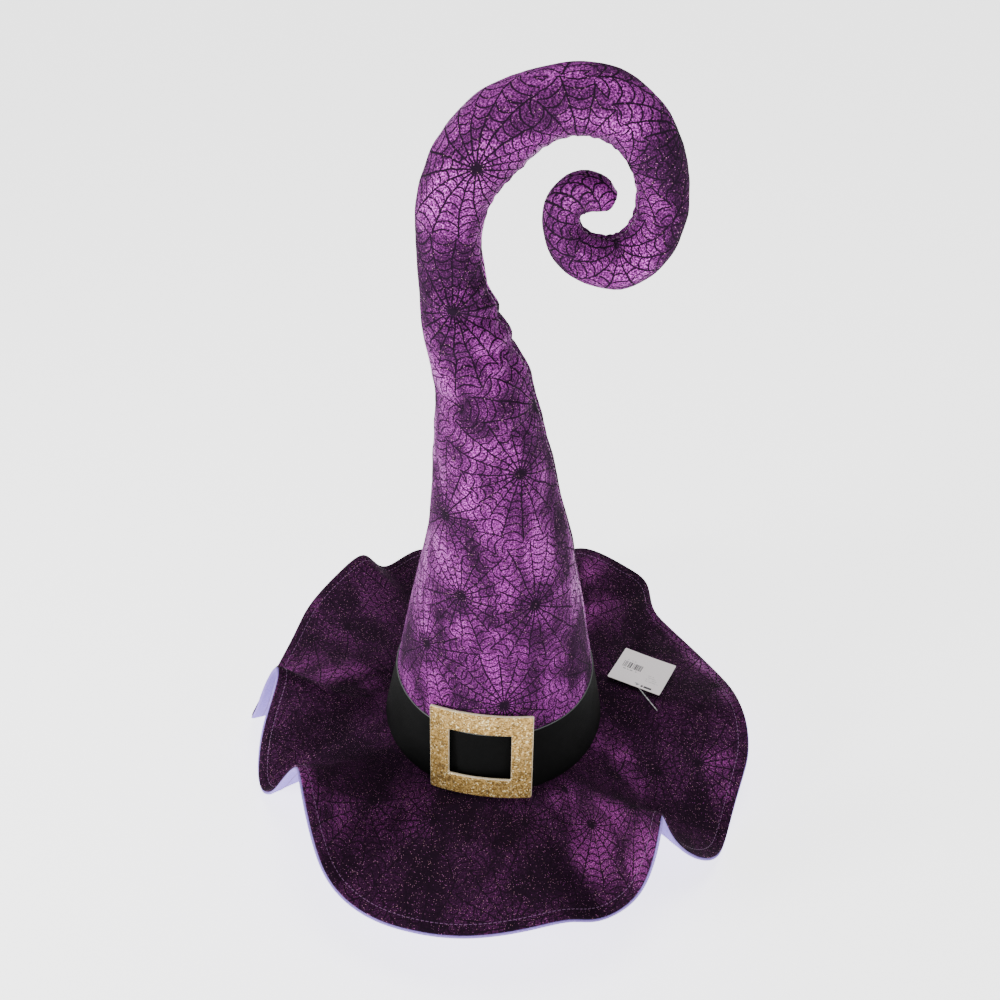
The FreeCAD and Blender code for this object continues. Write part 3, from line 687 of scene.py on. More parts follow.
def tube_piece(name, first, last, inset, mats, closed_end=False, thick=CLOTH_T):
    """Cloth (a thin shell) or filling (thick = 0, a closed solid) between two stations."""
    outer = SURFACE[first:last + 1] - NORMALS[first:last + 1] * inset
    sheets = [outer]
    norms = [NORMALS[first:last + 1]]
    if closed_end:
        # rounded, slightly gathered end of the tip
        tip, t, r = outer[-1].mean(axis=0), np.array((TAN[-1, 0], 0, TAN[-1, 1])), RADIUS[-1] - inset
        caps, cap_n = [], []
        for k in range(1, 7):
            a = math.pi / 2 * k / 6.4
            ring = tip + (outer[-1] - tip) * math.cos(a) + t * (0.42 * r * math.sin(a))
            pinch = 1 - 0.05 * np.cos(THETA * 9)[:, None] * math.sin(a)
            caps.append(tip + (ring - tip) * pinch)
            n = NORMALS[last] * math.cos(a) + t * math.sin(a)
            cap_n.append(n / np.linalg.norm(n, axis=1, keepdims=True))
        sheets.append(np.array(caps))
        norms.append(np.array(cap_n))
    top = np.vstack(sheets)
    top_n = np.vstack(norms)
    count = len(top)
    verts = list((top * MM).reshape(-1, 3))
    normals = list(top_n.reshape(-1, 3))
    faces = grid_faces(count, RING, wrap_cols=True)
    if thick:
        low = top - top_n * thick
        base = len(verts)
        verts += list((low * MM).reshape(-1, 3))
        normals += list((-top_n).reshape(-1, 3))
        faces += [tuple(base + i for i in f) for f in grid_faces(count, RING, wrap_cols=True, flip=True)]
        for j in range(RING):
            k = (j + 1) % RING
            faces.append((j, base + j, base + k, k))
            if not closed_end:
                e = (count - 1) * RING
                faces.append((e + j, e + k, base + e + k, base + e + j))
        if closed_end:
            e = (count - 1) * RING
            faces.append(tuple(e + j for j in range(RING)))
            faces.append(tuple(base + e + j for j in reversed(range(RING))))
    else:
        e = (count - 1) * RING
        faces.append(tuple(e + j for j in range(RING)))
        faces.append(tuple(reversed(range(RING))))
    uvs = []
    for f in faces:
        cols = [i % RING for i in f]
        split = max(cols) - min(cols) > RING // 2 and len(f) == 4
        row = [min(i // RING % count + first, last) for i in f]
        pts = []
        for c, r in zip(cols, row):
            pts.append(CLOTH_UV[r, RING if split and c == 0 else c])
        phis = [PHI[r, RING if split and c == 0 else c] for c, r in zip(cols, row)]
        if len(f) == 4 and max(phis) - min(phis) > math.pi:
            # this face straddles the seam: keep it on one side of the print
            top_phi = max(phis)
            pts = [CLOTH_UV[r, c] if p > top_phi - 1 else CLOTH_UV[r, (c + 1) % RING]
                   for c, r, p in zip(cols, row, phis)]
        uvs += pts
    return mesh_piece(name, verts, faces, mats, uvs=uvs, normals=normals)


def seam_path(first, last):
    """Points and normals on the cloth along the seam."""
    pts, nrm = [], []
    for i in range(first, last + 1):
        a = (SEAM_AT[i] % (2 * math.pi)) / (2 * math.pi) * RING
        j, f = int(a), a - int(a)
        pts.append(SURFACE[i, j % RING] * (1 - f) + SURFACE[i, (j + 1) % RING] * f)
        nrm.append(NORMALS[i, j % RING] * (1 - f) + NORMALS[i, (j + 1) % RING] * f)
    return np.array(pts) * MM, np.array(nrm)


def xz(point):
    return (point[0] * MM, 0.0, point[1] * MM)


def bend_zone(pivot, reach_back, reach_on):
    """Points before and after a bend, along the tube's direction there."""
    i = near_station(pivot)
    t = TAN[i]
    return (xz((pivot[0] - t[0] * reach_back, pivot[1] - t[1] * reach_back)),
            xz((pivot[0] + t[0] * reach_on, pivot[1] + t[1] * reach_on)))


STATIONS = [0] + [near_station(c) for c in CUTS] + [len(RUN) - 1]
# piece, the bodies either side of its bend, bend's place, how far the bend is spread each way; the bend is
# not applied, a piece on two bodies is only fixed in place
TUBES = [
    ("crown", ("crown", "cone"), (-9.0, 290.0), 42, 42),
    ("neck", ("cone", "arch"), (-29.8, 385.0), 34, 34),
    ("arch", ("arch", "curl"), (36.4, 533.0), 30, 30),
    ("curl", ("tip", "curl"), (71.2, 430.0), -15, -15),      # the same bend, told from its far end
    ("tip", ("tip",), None, 0, 0),
]
SOLIDS = ["crown", "cone", "arch", "curl", "tip"]


def on_bodies(piece, bodies, pivot, back, on):
    if len(bodies) == 1:
        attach(piece, bodies[0])
    else:
        start, end = bend_zone(pivot, back, on)
        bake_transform(piece)
    return piece


def build_tubes():
    for k, (name, bodies, pivot, back, on) in enumerate(TUBES):
        first, last = STATIONS[k], STATIONS[k + 1]
        end = k == len(TUBES) - 1
        cloth = tube_piece(name + "_cloth", first, last, 0.0, [M["crown"]], closed_end=end)
        fill_first = near_station(167.0) if k == 0 else first
        filling = tube_piece(name + "_filling", fill_first, last, 1.6, [M["fill"]], closed_end=end, thick=0)
        seam_first = near_station(BAND_TOP + 1.5) if k == 0 else first
        pts, nrm = seam_path(seam_first, last)
        seam = stitches(name + "_seam", pts, nrm, M["pale_thread"], 0.0026, 0.0010, 0.00026, lift=0.0001)
        for piece in (cloth, filling, seam):
            on_bodies(piece, bodies, pivot, back, on)
        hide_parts(SOLIDS[k] + "_velvet")
        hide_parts(SOLIDS[k] + "_stuffing")
        if k == 0:
            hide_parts("crown_seam")


build_tubes()


# ------------------------------------------------------------------ brim
# Edge of the brim as it is bent, anticlockwise from +X: (angle, reach, height), degrees and mm
EDGE = [
    (358, 223, -2), (8.5, 222, -10), (17, 222, -22), (30, 221, -32), (39, 221, -32),
    (44.5, 222, -24), (48, 225, -2), (54, 224, 6), (63.5, 224, 10), (70, 223, 4),
    (80, 216, -35), (90, 211, -55), (100, 216, -35), (111, 225, -3), (120.5, 225, -13),
    (124, 225, -2), (127.5, 224, 15), (134, 224, 9), (145, 226, -12), (151, 224, -26),
    (161, 221, -38), (171, 222, -43), (176.5, 222, -39), (180, 211, -12), (182, 197, 28),
    (184, 184, 55), (187.5, 182, 57), (190.5, 192, 28), (192.5, 203, -6), (194, 209, -36),
    (196, 210, -49), (200.5, 204, -38), (206, 193, -3), (213.5, 187, 38), (221, 193, 56),
    (227, 203, 48), (231.5, 211, 26), (237, 218, 4), (245, 222, -5),
    (254, 222, -6), (266, 222, 0), (278, 222, 11), (286, 222, 13), (292, 222, 3),
    (299, 221, 8), (303.5, 216, 30), (306.5, 208, 52), (309.5, 200, 58), (313, 198, 38),
    (317, 206, 4),
    (322.5, 218, -24), (329, 223, -44), (335, 222, -50), (341, 221, -38),
    (346.5, 223, -18), (351.5, 225, -12),
]
HEAD_R = 91.0
AROUND = 480
SHARES = np.r_[np.linspace(0, 0.90, 26), np.linspace(0.90, 1.0, 15)[1:]]
STITCH_SHARE, WIRE_SHARE, BUCKRAM_SHARE = 0.938, 0.967, 0.925
STITCH_ROW = int(np.argmin(np.abs(SHARES - STITCH_SHARE)))
SHARES[STITCH_ROW] = STITCH_SHARE
FLAT_INNER, FLAT_OUTER = 158.0, 288.0       # the ring as it is cut, before it is gathered


def brim_edge():
    pts = np.array([(r * math.cos(math.radians(a)), r * math.sin(math.radians(a)), z) for a, r, z in EDGE])
    fine = sample_spline(pts, 0.6, True, fine=80)
    loop = np.vstack([fine, fine[:1]])
    run = np.r_[0, np.cumsum(np.linalg.norm(np.diff(loop, axis=0), axis=1))]
    want = run[-1] * np.arange(AROUND) / AROUND
    edge = np.c_[tuple(np.interp(want, run, loop[:, k]) for k in range(3))]
    angles = np.unwrap(np.arctan2(edge[:, 1], edge[:, 0]))
    if angles[0] < 0:
        angles += 2 * math.pi
    step = 2 * math.pi / AROUND
    even = angles.mean() - step * (AROUND - 1) / 2 + step * np.arange(AROUND)
    return edge, angles, (angles + even) / 2


BRIM_EDGE, EDGE_ANGLES, GATHER_ANGLES = brim_edge()


def brim_plain():
    s = SHARES[:, None]
    inner = HEAD_R * np.c_[np.cos(GATHER_ANGLES), np.sin(GATHER_ANGLES)]
    x = inner[None, :, 0] * (1 - s) + BRIM_EDGE[None, :, 0] * s
    y = inner[None, :, 1] * (1 - s) + BRIM_EDGE[None, :, 1] * s
    z = BRIM_EDGE[None, :, 2] * (1.8 * s ** 2 - 0.8 * s ** 3)
    return np.stack([x, y, z], axis=2)


def brim_normals(grid):
    around = np.roll(grid, -1, axis=1) - np.roll(grid, 1, axis=1)
    out = np.gradient(grid, SHARES, axis=0)
    n = np.cross(out, around)
    n /= np.linalg.norm(n, axis=2, keepdims=True)
    n[0] = (0, 0, 1)
    return n


# creases pressed into the brim: two plan points (mm), half width and height
CREASES = [
    ((-120, -146), (-52, -108), 5.5, -3.0), ((-130, -136), (-60, -98), 7.0, 2.6),
    ((-58, -130), (-18, -98), 5.0, 2.2), ((-30, -140), (30, -158), 6.0, 1.6),
    ((36, -98), (84, -170), 6.0, 2.6), ((56, -90), (110, -150), 5.5, -2.2),
    ((-150, 20), (-100, 6), 6.0, 2.6), ((-165, 74), (-104, 40), 6.0, 2.2),
    ((104, 32), (158, 142), 5.0, -2.6), ((100, -20), (190, -40), 7.0, 1.6),
    ((90, 50), (128, 110), 6.0, 2.2), ((118, -60), (140, -118), 6.0, -2.0),
    ((-90, 90), (-130, 130), 6.0, 1.8), ((60, 108), (80, 160), 6.0, 1.8),
]


def brim_wrinkles(grid):
    """Small out-of-plane relief shared by every layer of the brim, mm."""
    pts = grid.reshape(-1, 3)
    shape = grid.shape[:2]
    s = SHARES[:, None]
    body = np.sin(np.pi * np.clip(s, 0, 1)) ** 0.8
    soft = soft_noise(pts, 0.016, 5.5, 2).reshape(shape)
    fine = soft_noise(pts, 0.05, 2.2, 2).reshape(shape)
    out = body * (1.6 * soft + 0.5 * fine)
    gathers = np.sin(GATHER_ANGLES * 41 + 2.5 * np.sin(GATHER_ANGLES * 5))[None, :]
    out += 0.55 * gathers * np.exp(-((s - 0.12) / 0.12) ** 2)
    xy = grid[:, :, :2]
    for a, b, wide, high in CREASES:
        a, b = np.array(a, float), np.array(b, float)
        ab = b - a
        t = np.clip(((xy - a) @ ab) / (ab @ ab), 0, 1)
        away = np.linalg.norm(xy - a - t[..., None] * ab, axis=2)
        taper = np.sin(math.pi * np.clip(t * 0.86 + 0.07, 0, 1)) ** 0.7
        out += high * bell(away, wide) * taper * np.clip(s / 0.18, 0, 1) * np.clip((1 - s) / 0.12, 0, 1)
    return out


PLAIN = brim_plain()
PLAIN_N = brim_normals(PLAIN)
WRINKLES = brim_wrinkles(PLAIN)
BRIM = PLAIN + PLAIN_N * WRINKLES[..., None]
BRIM_N = brim_normals(BRIM)
FLAT_R = FLAT_INNER + (FLAT_OUTER - FLAT_INNER) * SHARES
FLAT_A = 2 * math.pi * np.arange(AROUND) / AROUND
# where foil is left on the brim's print, partly real foil and partly painted highlight set on the brim's
# ridges: (angle, share across, angle spread, share spread, amount)
FOIL_AND_HIGHLIGHT = [
    (160, 0.85, 4, 0.22, 0.5), (166, 0.45, 5, 0.25, 0.6), (176, 0.14, 8, 0.14, 0.5),
    (144, 0.92, 3, 0.18, 0.5), (149, 0.55, 3, 0.3, 0.45), (62, 0.88, 6, 0.12, 0.7),
    (60, 0.72, 7, 0.2, 1.0), (54, 0.5, 6, 0.25, 0.9), (36, 0.97, 8, 0.06, 0.9),
    (22, 0.94, 9, 0.07, 1.0), (6, 0.95, 8, 0.07, 0.9), (336, 0.1, 10, 0.1, 0.9),
    (332, 0.22, 7, 0.12, 1.0), (328, 0.38, 5, 0.15, 0.9), (302, 0.18, 8, 0.12, 0.8),
    (304, 0.52, 6, 0.22, 1.0), (298, 0.62, 5, 0.2, 0.9), (304, 0.92, 5, 0.12, 0.9),
    (346, 0.82, 4, 0.14, 0.9), (341, 0.92, 5, 0.1, 0.9), (221, 0.97, 7, 0.08, 0.9),
    (227, 0.82, 5, 0.2, 0.6), (244, 0.38, 6, 0.16, 0.45),
]


def foil_and_painted_highlight():
    # a low, noisy amount of foil everywhere, raised in patches that are partly foil and partly painted
    # highlight
    deg = np.degrees(EDGE_ANGLES)[None, :] % 360
    s = SHARES[:, None]
    pts = PLAIN.reshape(-1, 3)
    out = 0.13 + 0.12 * soft_noise(pts, 0.02, 7.7, 2).reshape(PLAIN.shape[:2])
    for angle, share, wide, deep, amount in FOIL_AND_HIGHLIGHT:
        gap = (deg - angle + 180) % 360 - 180
        out = np.maximum(out, amount * bell(gap, wide) * bell(s - share, deep))
    return np.clip(out, 0.03, 1)


FOIL_AND_PAINTED_HIGHLIGHT = foil_and_painted_highlight()


def layer_grid(depth):
    return BRIM - BRIM_N * np.asarray(depth)[..., None]


def brim_sheet(name, top_depth, low_depth, mats, last_row=None, rim=0.0, values=None, edge_mat=0):
    """Closed sheet between two depths under the velvet's face, with a rounded outer edge."""
    rows = len(SHARES) if last_row is None else last_row + 1
    top = layer_grid(top_depth)[:rows]
    low = layer_grid(low_depth)[:rows]
    out_dir = BRIM[rows - 1] - BRIM[rows - 2]
    out_dir /= np.linalg.norm(out_dir, axis=1, keepdims=True)
    edge_rows = []
    for a in (0.2, 0.5, 0.8):
        swell = math.sin(math.pi * a)
        edge_rows.append(top[-1] * (1 - a) + low[-1] * a + out_dir * (rim * swell))
    loop = np.vstack([top, edge_rows, low[::-1]])
    count = len(loop)
    verts = (loop * MM).reshape(-1, 3)
    faces = grid_faces(count, AROUND, wrap_rows=True, wrap_cols=True, flip=True)
    flat_r = np.r_[FLAT_R[:rows], [FLAT_R[rows - 1] + 0.5] * 3, FLAT_R[:rows][::-1]]
    table = np.stack([flat_r[:, None] * np.cos(FLAT_A), flat_r[:, None] * np.sin(FLAT_A)], axis=2) * MM
    face_mats = None
    if edge_mat:
        face_mats = [edge_mat if rows - 1 <= i // AROUND < rows + 3 else 0 for i in range(len(faces))]
    data = None
    if values is not None:
        spread = np.vstack([values[:rows], np.repeat(values[rows - 1:rows], 3, axis=0), values[:rows][::-1]])
        data = {"foil": spread.ravel()}
    return mesh_piece(name, verts, faces, mats, uvs=table.reshape(-1, 2), face_mats=face_mats, values=data)


def cord_along(name, share, depth, radius, mat, ring=6):
    """A closed cord that follows the brim at one share of its width."""
    grid = layer_grid(depth)
    path = np.array([[np.interp(share, SHARES, grid[:, i, k]) for k in range(3)] for i in range(AROUND)])
    n = np.array([[np.interp(share, SHARES, BRIM_N[:, i, k]) for k in range(3)] for i in range(AROUND)])
    along = np.roll(path, -1, axis=0) - np.roll(path, 1, axis=0)
    side = np.cross(along, n)
    side /= np.linalg.norm(side, axis=1, keepdims=True)
    up = np.cross(side, along)
    up /= np.linalg.norm(up, axis=1, keepdims=True)
    turns = [2 * math.pi * k / ring for k in range(ring)]
    rows = np.array([path + radius * (side * math.cos(a) + up * math.sin(a)) for a in turns])
    faces = grid_faces(ring, AROUND, True, True, flip=True)
    return mesh_piece(name, (rows * MM).reshape(-1, 3), faces, [mat])


def build_brim():
    s = SHARES[:, None] * np.ones((1, AROUND))
    groove = 0.35 * bell((s - STITCH_SHARE) * 130, 1.1)
    hem = 0.25 * bell((s - 0.972) * 130, 3.0)
    close = np.clip((s - 0.975) / 0.025, 0, 1)
    # the foil attribute puts painted highlight on the brim's ridges, over the real foil print
    velvet = brim_sheet("brim_cloth", groove - hem, 0.9 + 0.55 * close, [M["brim"]], rim=0.5,
                        values=FOIL_AND_PAINTED_HIGHLIGHT)
    under = brim_sheet("brim_felt_cloth", 2.0 - 0.5 * close, 4.0 + 0.0 * s, [M["felt"]], rim=1.6)
    inner_row = int(np.searchsorted(SHARES, BUCKRAM_SHARE))
    middle = brim_sheet("brim_interlining_cloth", 1.0 + 0.0 * s, 1.9 + 0.0 * s, [M["non_woven"]],
                        last_row=inner_row - 1)
    wire = cord_along("brim_edge_wire", WIRE_SHARE, np.full(s.shape, 1.45), 0.38, M["wire"])
    top = layer_grid(groove)[STITCH_ROW]
    path = np.vstack([top, top[:1]]) * MM
    nrm = np.vstack([BRIM_N[STITCH_ROW], BRIM_N[STITCH_ROW][:1]])
    sewn = stitches("brim_stitches", path, nrm, M["thread"], 0.0030, 0.0007, 0.00027, lift=0.0)
    low = layer_grid(np.full(s.shape, 4.0))[STITCH_ROW]
    path = np.vstack([low, low[:1]]) * MM
    sewn_under = stitches("brim_stitches_under", path, -nrm, M["thread"], 0.0030, 0.0007, 0.00027, lift=0.0)
    for piece, solid, slot in ((velvet, "brim_velvet", "brim_velvet"), (under, "brim_felt", "lavender_felt"),
                               (middle, "brim_interlining", "non_woven"), (wire, "brim_wire", "steel_wire"),
                               (sewn, "brim_topstitch", "seam_thread"), (sewn_under, None, "seam_thread")):
        dress(piece, solid)


build_brim()


# ------------------------------------------------------------------ band, lining, sweatband
def lathe(name, profile, mats, push=None, around=256, start=0.0, sweep=2 * math.pi, profile_mats=None):
    """Turns a closed (radius, z) profile in mm; push(angle, r, z) returns (radius, z) changes."""
    full = abs(sweep - 2 * math.pi) < 1e-6
    count = around if full else around + 1
    verts, uvs = [], []
    run = np.r_[0, np.cumsum([math.dist(profile[k], profile[k + 1]) for k in range(len(profile) - 1)])]
    for k, (r, z) in enumerate(profile):
        for i in range(count):
            a = start + sweep * i / around
            dr, dz = push(a, r, z) if push else (0.0, 0.0)
            verts.append(((r + dr) * math.cos(a) * MM, (r + dr) * math.sin(a) * MM, (z + dz) * MM))
            uvs.append((a * 90 * MM, run[k] * MM))
    faces = grid_faces(len(profile), count, wrap_rows=True, wrap_cols=full)
    face_mats = None
    if profile_mats:
        across = count if full else count - 1
        face_mats = [profile_mats[i // across] for i in range(len(faces))]
    if not full:
        faces.append(tuple(k * count for k in range(len(profile))))
        faces.append(tuple(k * count + count - 1 for k in reversed(range(len(profile)))))
        if face_mats:
            face_mats += [1, 1]
    return mesh_piece(name, verts, faces, mats, uvs=uvs, face_mats=face_mats)


def wall_profile(outer0, thick, z0, z1, steps, slope=SLOPE):
    """Closed wall section with softly rounded ends: up the outside, down the inside."""
    out, back = [], []
    soft = min(0.35, thick * 0.4)
    zs = np.linspace(z0 + soft, z1 - soft, steps)
    for z in zs:
        out.append((outer0 - slope * z, z))
        back.append((outer0 - thick - slope * z, z))
    top = [(outer0 - slope * z1 - soft * 0.6, z1 - soft * 0.2), (outer0 - thick / 2 - slope * z1, z1),
           (outer0 - thick - slope * z1 + soft * 0.6, z1 - soft * 0.2)]
    low = [(outer0 - thick - slope * z0 + soft * 0.6, z0 + soft * 0.2), (outer0 - thick / 2 - slope * z0, z0),
           (outer0 - slope * z0 - soft * 0.6, z0 + soft * 0.2)]
    return out + top + back[::-1] + low, steps


def build_band():
    def slack(a, r, z):
        up = z / BAND_TOP
        low = max(0.0, math.sin(a * 7 + 1.0) + 0.6 * math.sin(a * 13 + z * 0.05))
        out = 0.10 * low * math.sin(math.pi * min(max(up, 0), 1))
        return out, 0.35 * math.sin(a * 4 + 0.6) * up ** 3 + 0.2 * math.sin(a * 11) * up ** 3

    profile, steps = wall_profile(CROWN_R, 0.9, 0.3, BAND_TOP, 22)
    mats = [0] * len(profile)
    for k in range(steps - 1, steps + 3):
        mats[k] = 1
    band = lathe("hat_band_cloth", profile, [M["band"], M["band_edge"]], slack, 320, profile_mats=mats)
    profile, steps = wall_profile(CROWN_R + 1.0, 0.9, 0.5, BAND_TOP - 0.2, 18)
    mats = [0] * len(profile)
    for k in range(steps - 1, steps + 3):
        mats[k] = 1
    lap = lathe("band_lap_cloth", profile, [M["band"], M["band_edge"]], None, 24,
                start=math.pi / 2 - 0.137, sweep=0.274, profile_mats=mats)
    rows = []
    for x in (-11.0, 11.0):
        pts, nrm = [], []
        for z in np.linspace(3, BAND_TOP - 3, 20):
            r = CROWN_R + 1.0 - SLOPE * z
            a = math.pi / 2 - x / r
            pts.append((r * math.cos(a) * MM, r * math.sin(a) * MM, z * MM))
            nrm.append((math.cos(a), math.sin(a), 0.19))
        side = "left" if x < 0 else "right"
        rows.append(stitches("band_lap_stitches_" + side, pts, nrm, M["dark_thread"], 0.003, 0.0012, 0.0003))
    for piece, solid, slot in ((band, "hat_band", "black_satin"), (lap, "band_lap", "black_satin"),
                               (rows[0], None, "seam_thread"), (rows[1], None, "seam_thread")):
        dress(piece, solid)


BAND_T, STIFFENER_T, GAP = 0.9, 1.0, 0.1      # layers between the band's face and the lining
SEWN_Z = 25.5                                  # the sweatband's stitches


def build_inside():
    line_out = CROWN_R - BAND_T - GAP - CLOTH_T - GAP - STIFFENER_T - GAP
    profile, _ = wall_profile(line_out, 0.8, 0.3, 28.0, 12)

    def ribs(a, r, z):
        return -0.12 * max(0.0, math.sin(a * 9 + 0.4 * z)), 0.0

    ribbon = lathe("sweatband_ribbon", profile, [M["ribbon"]], ribs, 256)
    r = line_out - 0.85 - SLOPE * SEWN_Z
    turns = np.linspace(0, 2 * math.pi, 300)
    pts = [(r * math.cos(a) * MM, r * math.sin(a) * MM, SEWN_Z * MM) for a in turns]
    nrm = [(-math.cos(a), -math.sin(a), -0.19) for a in turns]
    sewn = stitches("sweatband_stitches", pts, nrm, M["dark_thread"], 0.0032, 0.0014, 0.0003)

    # lining: wall and gathered crown piece in one lathe section, open at the bottom
    wall = [(line_out - SLOPE * z, z) for z in np.linspace(28.2, 164.6, 30)]
    lid_r = line_out - SLOPE * 165.4
    lid = [(lid_r * share, 165.4) for share in (0.985, 0.9, 0.75, 0.6, 0.45, 0.3, 0.16, 0.05)]
    out = wall + lid
    inner = [(r - 0.4, z) for r, z in wall] + [(r * 0.985, z - 0.4) for r, z in lid]
    inner[len(wall) - 1] = (inner[len(wall) - 1][0], 164.6)

    def gathers(a, r, z):
        deep = math.sin(a * 17 + 1.3 * math.sin(a * 3))
        if z > 164.8:
            return 0.0, -0.9 * (0.5 + 0.5 * deep) * min(1.0, (lid_r - r) / 8) * min(1.0, r / 12)
        fade = min(1.0, max(0.0, (164.6 - z) / 12))
        return -0.35 * (0.5 + 0.5 * deep) * min(1.0, (z - 28) / 30) * fade, 0.0

    lining = lathe("crown_lining_cloth", out + inner[::-1], [M["lining"]], gathers, 220)
    for piece, solid, slot in ((ribbon, "sweatband", "black_ribbon"),
                               (lining, "crown_lining", "lining_cloth"), (sewn, None, "seam_thread")):
        dress(piece, solid)


build_band()
build_inside()


# ------------------------------------------------------------------ buckle
def rounded_rect(width, height, radius, count, drop=0.0):
    """Points round a rounded rectangle, evenly spread by angle steps that match between two of them."""
    pts = []
    per = count // 4
    w, h = width / 2 - radius, height / 2 - radius
    corners = [(w, h, 0), (-w, h, 90), (-w, -h, 180), (w, -h, 270)]
    arc = 6
    for k, (cx, cy, a0) in enumerate(corners):
        for j in range(arc):
            a = math.radians(a0 + 90 * j / (arc - 1))
            pts.append((cx + radius * math.cos(a), cy + radius * math.sin(a) - drop))
        nx, ny, na = corners[(k + 1) % 4]
        a = math.radians(a0 + 90)
        p = (cx + radius * math.cos(a), cy + radius * math.sin(a) - drop)
        q = (nx + radius * math.cos(math.radians(na)), ny + radius * math.sin(math.radians(na)) - drop)
        for j in range(1, per - arc + 1):
            t = j / (per - arc + 1)
            pts.append((p[0] + (q[0] - p[0]) * t, p[1] + (q[1] - p[1]) * t))
    return np.array(pts)


def frame_rings(outer, inner, across, edge):
    """Rings of plan points from the outer contour to the inner one, closer together at both edges."""
    shares = [0.0, edge * 0.35, edge] + list(np.linspace(edge, 1 - edge, across)[1:-1])
    shares += [1 - edge, 1 - edge * 0.35, 1.0]
    return [outer * (1 - t) + inner * t for t in shares]


def build_buckle():
    width, height, thick, bend = 84.0, 76.6, 2.5, 137.0
    outer = rounded_rect(width, height, 1.6, 208)
    inner = rounded_rect(51.0, 41.6, 0.9, 208, drop=0.3)
    border = 0.05
    rings = frame_rings(outer, inner, 14, border)
    rows = []
    for k, ring in enumerate(rings):
        ends = min(k, len(rings) - 1 - k)
        sink = {0: 0.55, 1: 0.16, 2: 0.0}.get(ends, 0.0)
        rows.append((ring, thick - sink, k))
    rows += [(rings[-1] * 1.0, thick * 0.6, -1), (rings[-1], thick * 0.25, -1), (rings[-1], 0.0, -1)]
    middle = (rings[-1] + rings[0]) / 2
    rows += [(middle, 0.0, -1), (rings[0], 0.0, -1)]
    rows += [(rings[0], thick * 0.25, -1), (rings[0], thick * 0.6, -1)]
    verts = []
    tilt, lie, swing = math.radians(15.7), math.radians(-3.6), math.radians(-10.4)
    at = (-9.7, -90.5, 42.0)
    for ring, level, row in rows:
        for x, z in ring:
            r = bend + level
            wave = 0.0
            if row >= 0:
                wave = 0.07 * noise.noise(Vector((x * 0.9, z * 0.9, 1.5)))
                wave += 0.25 * noise.noise(Vector((x * 0.05, z * 0.05, 4.0)))
                wave = max(wave, -0.12)
            y = bend - math.sqrt((r + wave) ** 2 - x * x)
            x1, z1 = x * math.cos(lie) + z * math.sin(lie), -x * math.sin(lie) + z * math.cos(lie)
            y2 = y * math.cos(tilt) + z1 * math.sin(tilt)
            z2 = -y * math.sin(tilt) + z1 * math.cos(tilt)
            verts.append(((x1 * math.cos(swing) - y2 * math.sin(swing) + at[0]) * MM,
                          (x1 * math.sin(swing) + y2 * math.cos(swing) + at[1]) * MM, (z2 + at[2]) * MM))
    count = len(outer)
    faces = grid_faces(len(rows), count, wrap_rows=True, wrap_cols=True, flip=True)
    last = len(rings) - 1
    cut = {0, last - 1}
    face_mats = [1 if (i // count in cut or i // count >= last) else 0 for i in range(len(faces))]
    buckle = mesh_piece("buckle_foam", verts, faces, [M["gold"], M["foam"]], face_mats=face_mats)
    dress(buckle, "buckle")


build_buckle()


# ------------------------------------------------------------------ price tag
def build_tag():
    swivel = next(j for j in frame["joints"] if j["name"] == "tag_swivel")
    hole = Vector(swivel["pos_m"])
    normal = Vector(swivel["axis"]).normalized()
    azimuth = math.radians(120.9 - 146.3)
    edge_dir = Vector((math.cos(azimuth), math.sin(azimuth), 0))
    edge_dir = (edge_dir - normal * edge_dir.dot(normal)).normalized()
    down = normal.cross(edge_dir)
    count = 160
    outer = rounded_rect(50.0, 49.0, 1.3, count) + np.array((-2.5, 20.5))
    angles = np.unwrap(np.arctan2(outer[:, 1], outer[:, 0]))
    inner = 1.1 * np.c_[np.cos(angles), np.sin(angles)]
    shares = [0.0, 0.006, 0.05, 0.12, 0.2, 0.3, 0.42, 0.55, 0.68, 0.8, 0.9, 0.97, 1.0]
    rings = [outer * (1 - t) + inner * t for t in shares]
    thick = 0.4

    def lift(x, y):
        # the card has taken a slight curl, most at its far corners
        return 0.9 * (max(0.0, y) / 45) ** 2 + 0.5 * ((x + 2.5) / 25) ** 2 * (max(0.0, y) / 45)

    rows = [(r, thick) for r in rings] + [(r, 0.0) for r in rings[::-1]]
    verts, uvs = [], []
    for ring, level in rows:
        for x, y in ring:
            p = hole + (edge_dir * x + down * y + normal * (level + lift(x, y))) * MM
            verts.append(tuple(p))
            uvs.append((x * MM, y * MM))
    faces = grid_faces(len(rows), count, wrap_rows=True, wrap_cols=True, flip=True)
    n = len(rings)
    face_mats = [0 if i // count < n - 1 else 1 for i in range(len(faces))]
    tag = mesh_piece("price_tag_card", verts, faces, [M["card"], M["card_edge"]], uvs=uvs,
                     face_mats=face_mats)
    dress(tag, "price_tag", body="price_tag")


build_tag()

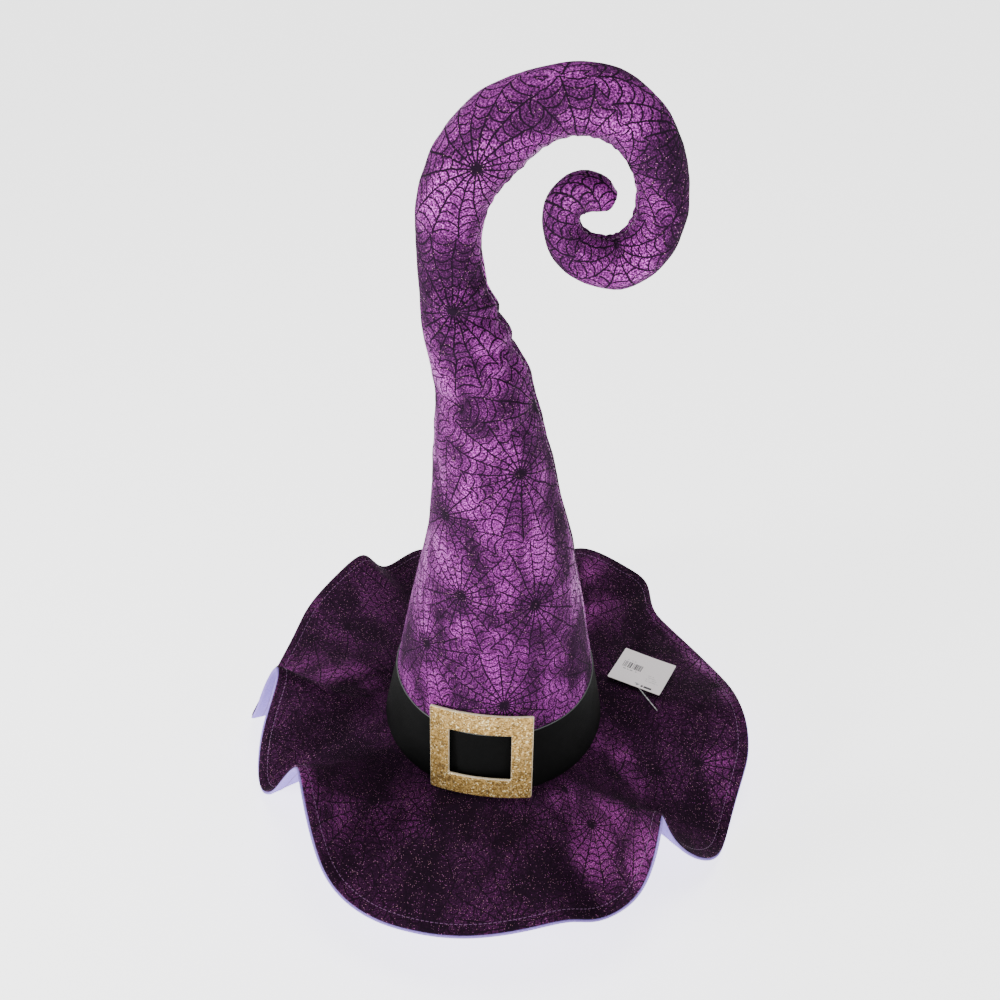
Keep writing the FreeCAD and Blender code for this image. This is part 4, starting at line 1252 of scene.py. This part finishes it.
# ------------------------------------------------------------------ CAD nodes that stay
for node, material in (("crown_stiffener", "non_woven"), ("crown_wire", "wire"), ("cone_wire", "wire"),
                       ("arch_wire", "wire"), ("curl_wire", "wire"), ("tip_wire", "wire"),
                       ("tag_pin", "plastic"), ("tag_pin_anchor", "plastic"),
                       ("glue_left", "glue"), ("glue_right", "glue")):
    mesh = nodes[node].data
    mesh.materials.clear()
    mesh.materials.append(M[material])

# ------------------------------------------------------------------ floor and light
low = cad_box[0][2]


def build_floor():
    sh = Shader("floor")
    soft = sh.noise(sh.place(), 6, 2.0)
    sh.finish(sh.mix(soft, (0.86, 0.86, 0.87), (0.88, 0.88, 0.89)), 0.9, level=0.1)
    sh.bsdf.inputs["Emission Color"].default_value = (1.0, 1.0, 1.0, 1.0)
    sh.bsdf.inputs["Emission Strength"].default_value = 2.4
    size = 6.0
    mesh = bpy.data.meshes.new("floor")
    mesh.from_pydata([(-size, -size, low - 0.0005), (size, -size, low - 0.0005),
                      (size, size, low - 0.0005), (-size, size, low - 0.0005)], [], [(0, 1, 2, 3)])
    mesh.materials.append(sh.mat)
    floor = bpy.data.objects.new("floor", mesh)
    bpy.context.scene.collection.objects.link(floor)


def area_light(name, at, towards, size, power):
    data = bpy.data.lights.new(name, "AREA")
    data.shape = "DISK"
    data.size = size
    data.energy = power
    lamp = bpy.data.objects.new(name, data)
    bpy.context.scene.collection.objects.link(lamp)
    lamp.location = at
    lamp.rotation_euler = (Vector(towards) - Vector(at)).to_track_quat("-Z", "Y").to_euler()


def build_light():
    world = bpy.data.worlds.new("world")
    bpy.context.scene.world = world
    world.use_nodes = True
    back = world.node_tree.nodes["Background"]
    back.inputs[0].default_value = (1.0, 1.0, 1.0, 1.0)
    back.inputs[1].default_value = 0.5
    area_light("key", (-1.25, -0.75, 0.55), (0, 0, 0.28), 0.45, 26)
    area_light("front", (0.55, -1.3, 0.25), (0, 0, 0.0), 0.9, 9)
    area_light("top", (0.1, 0.1, 1.7), (0, 0, 0.1), 0.7, 15)


build_floor()
build_light()
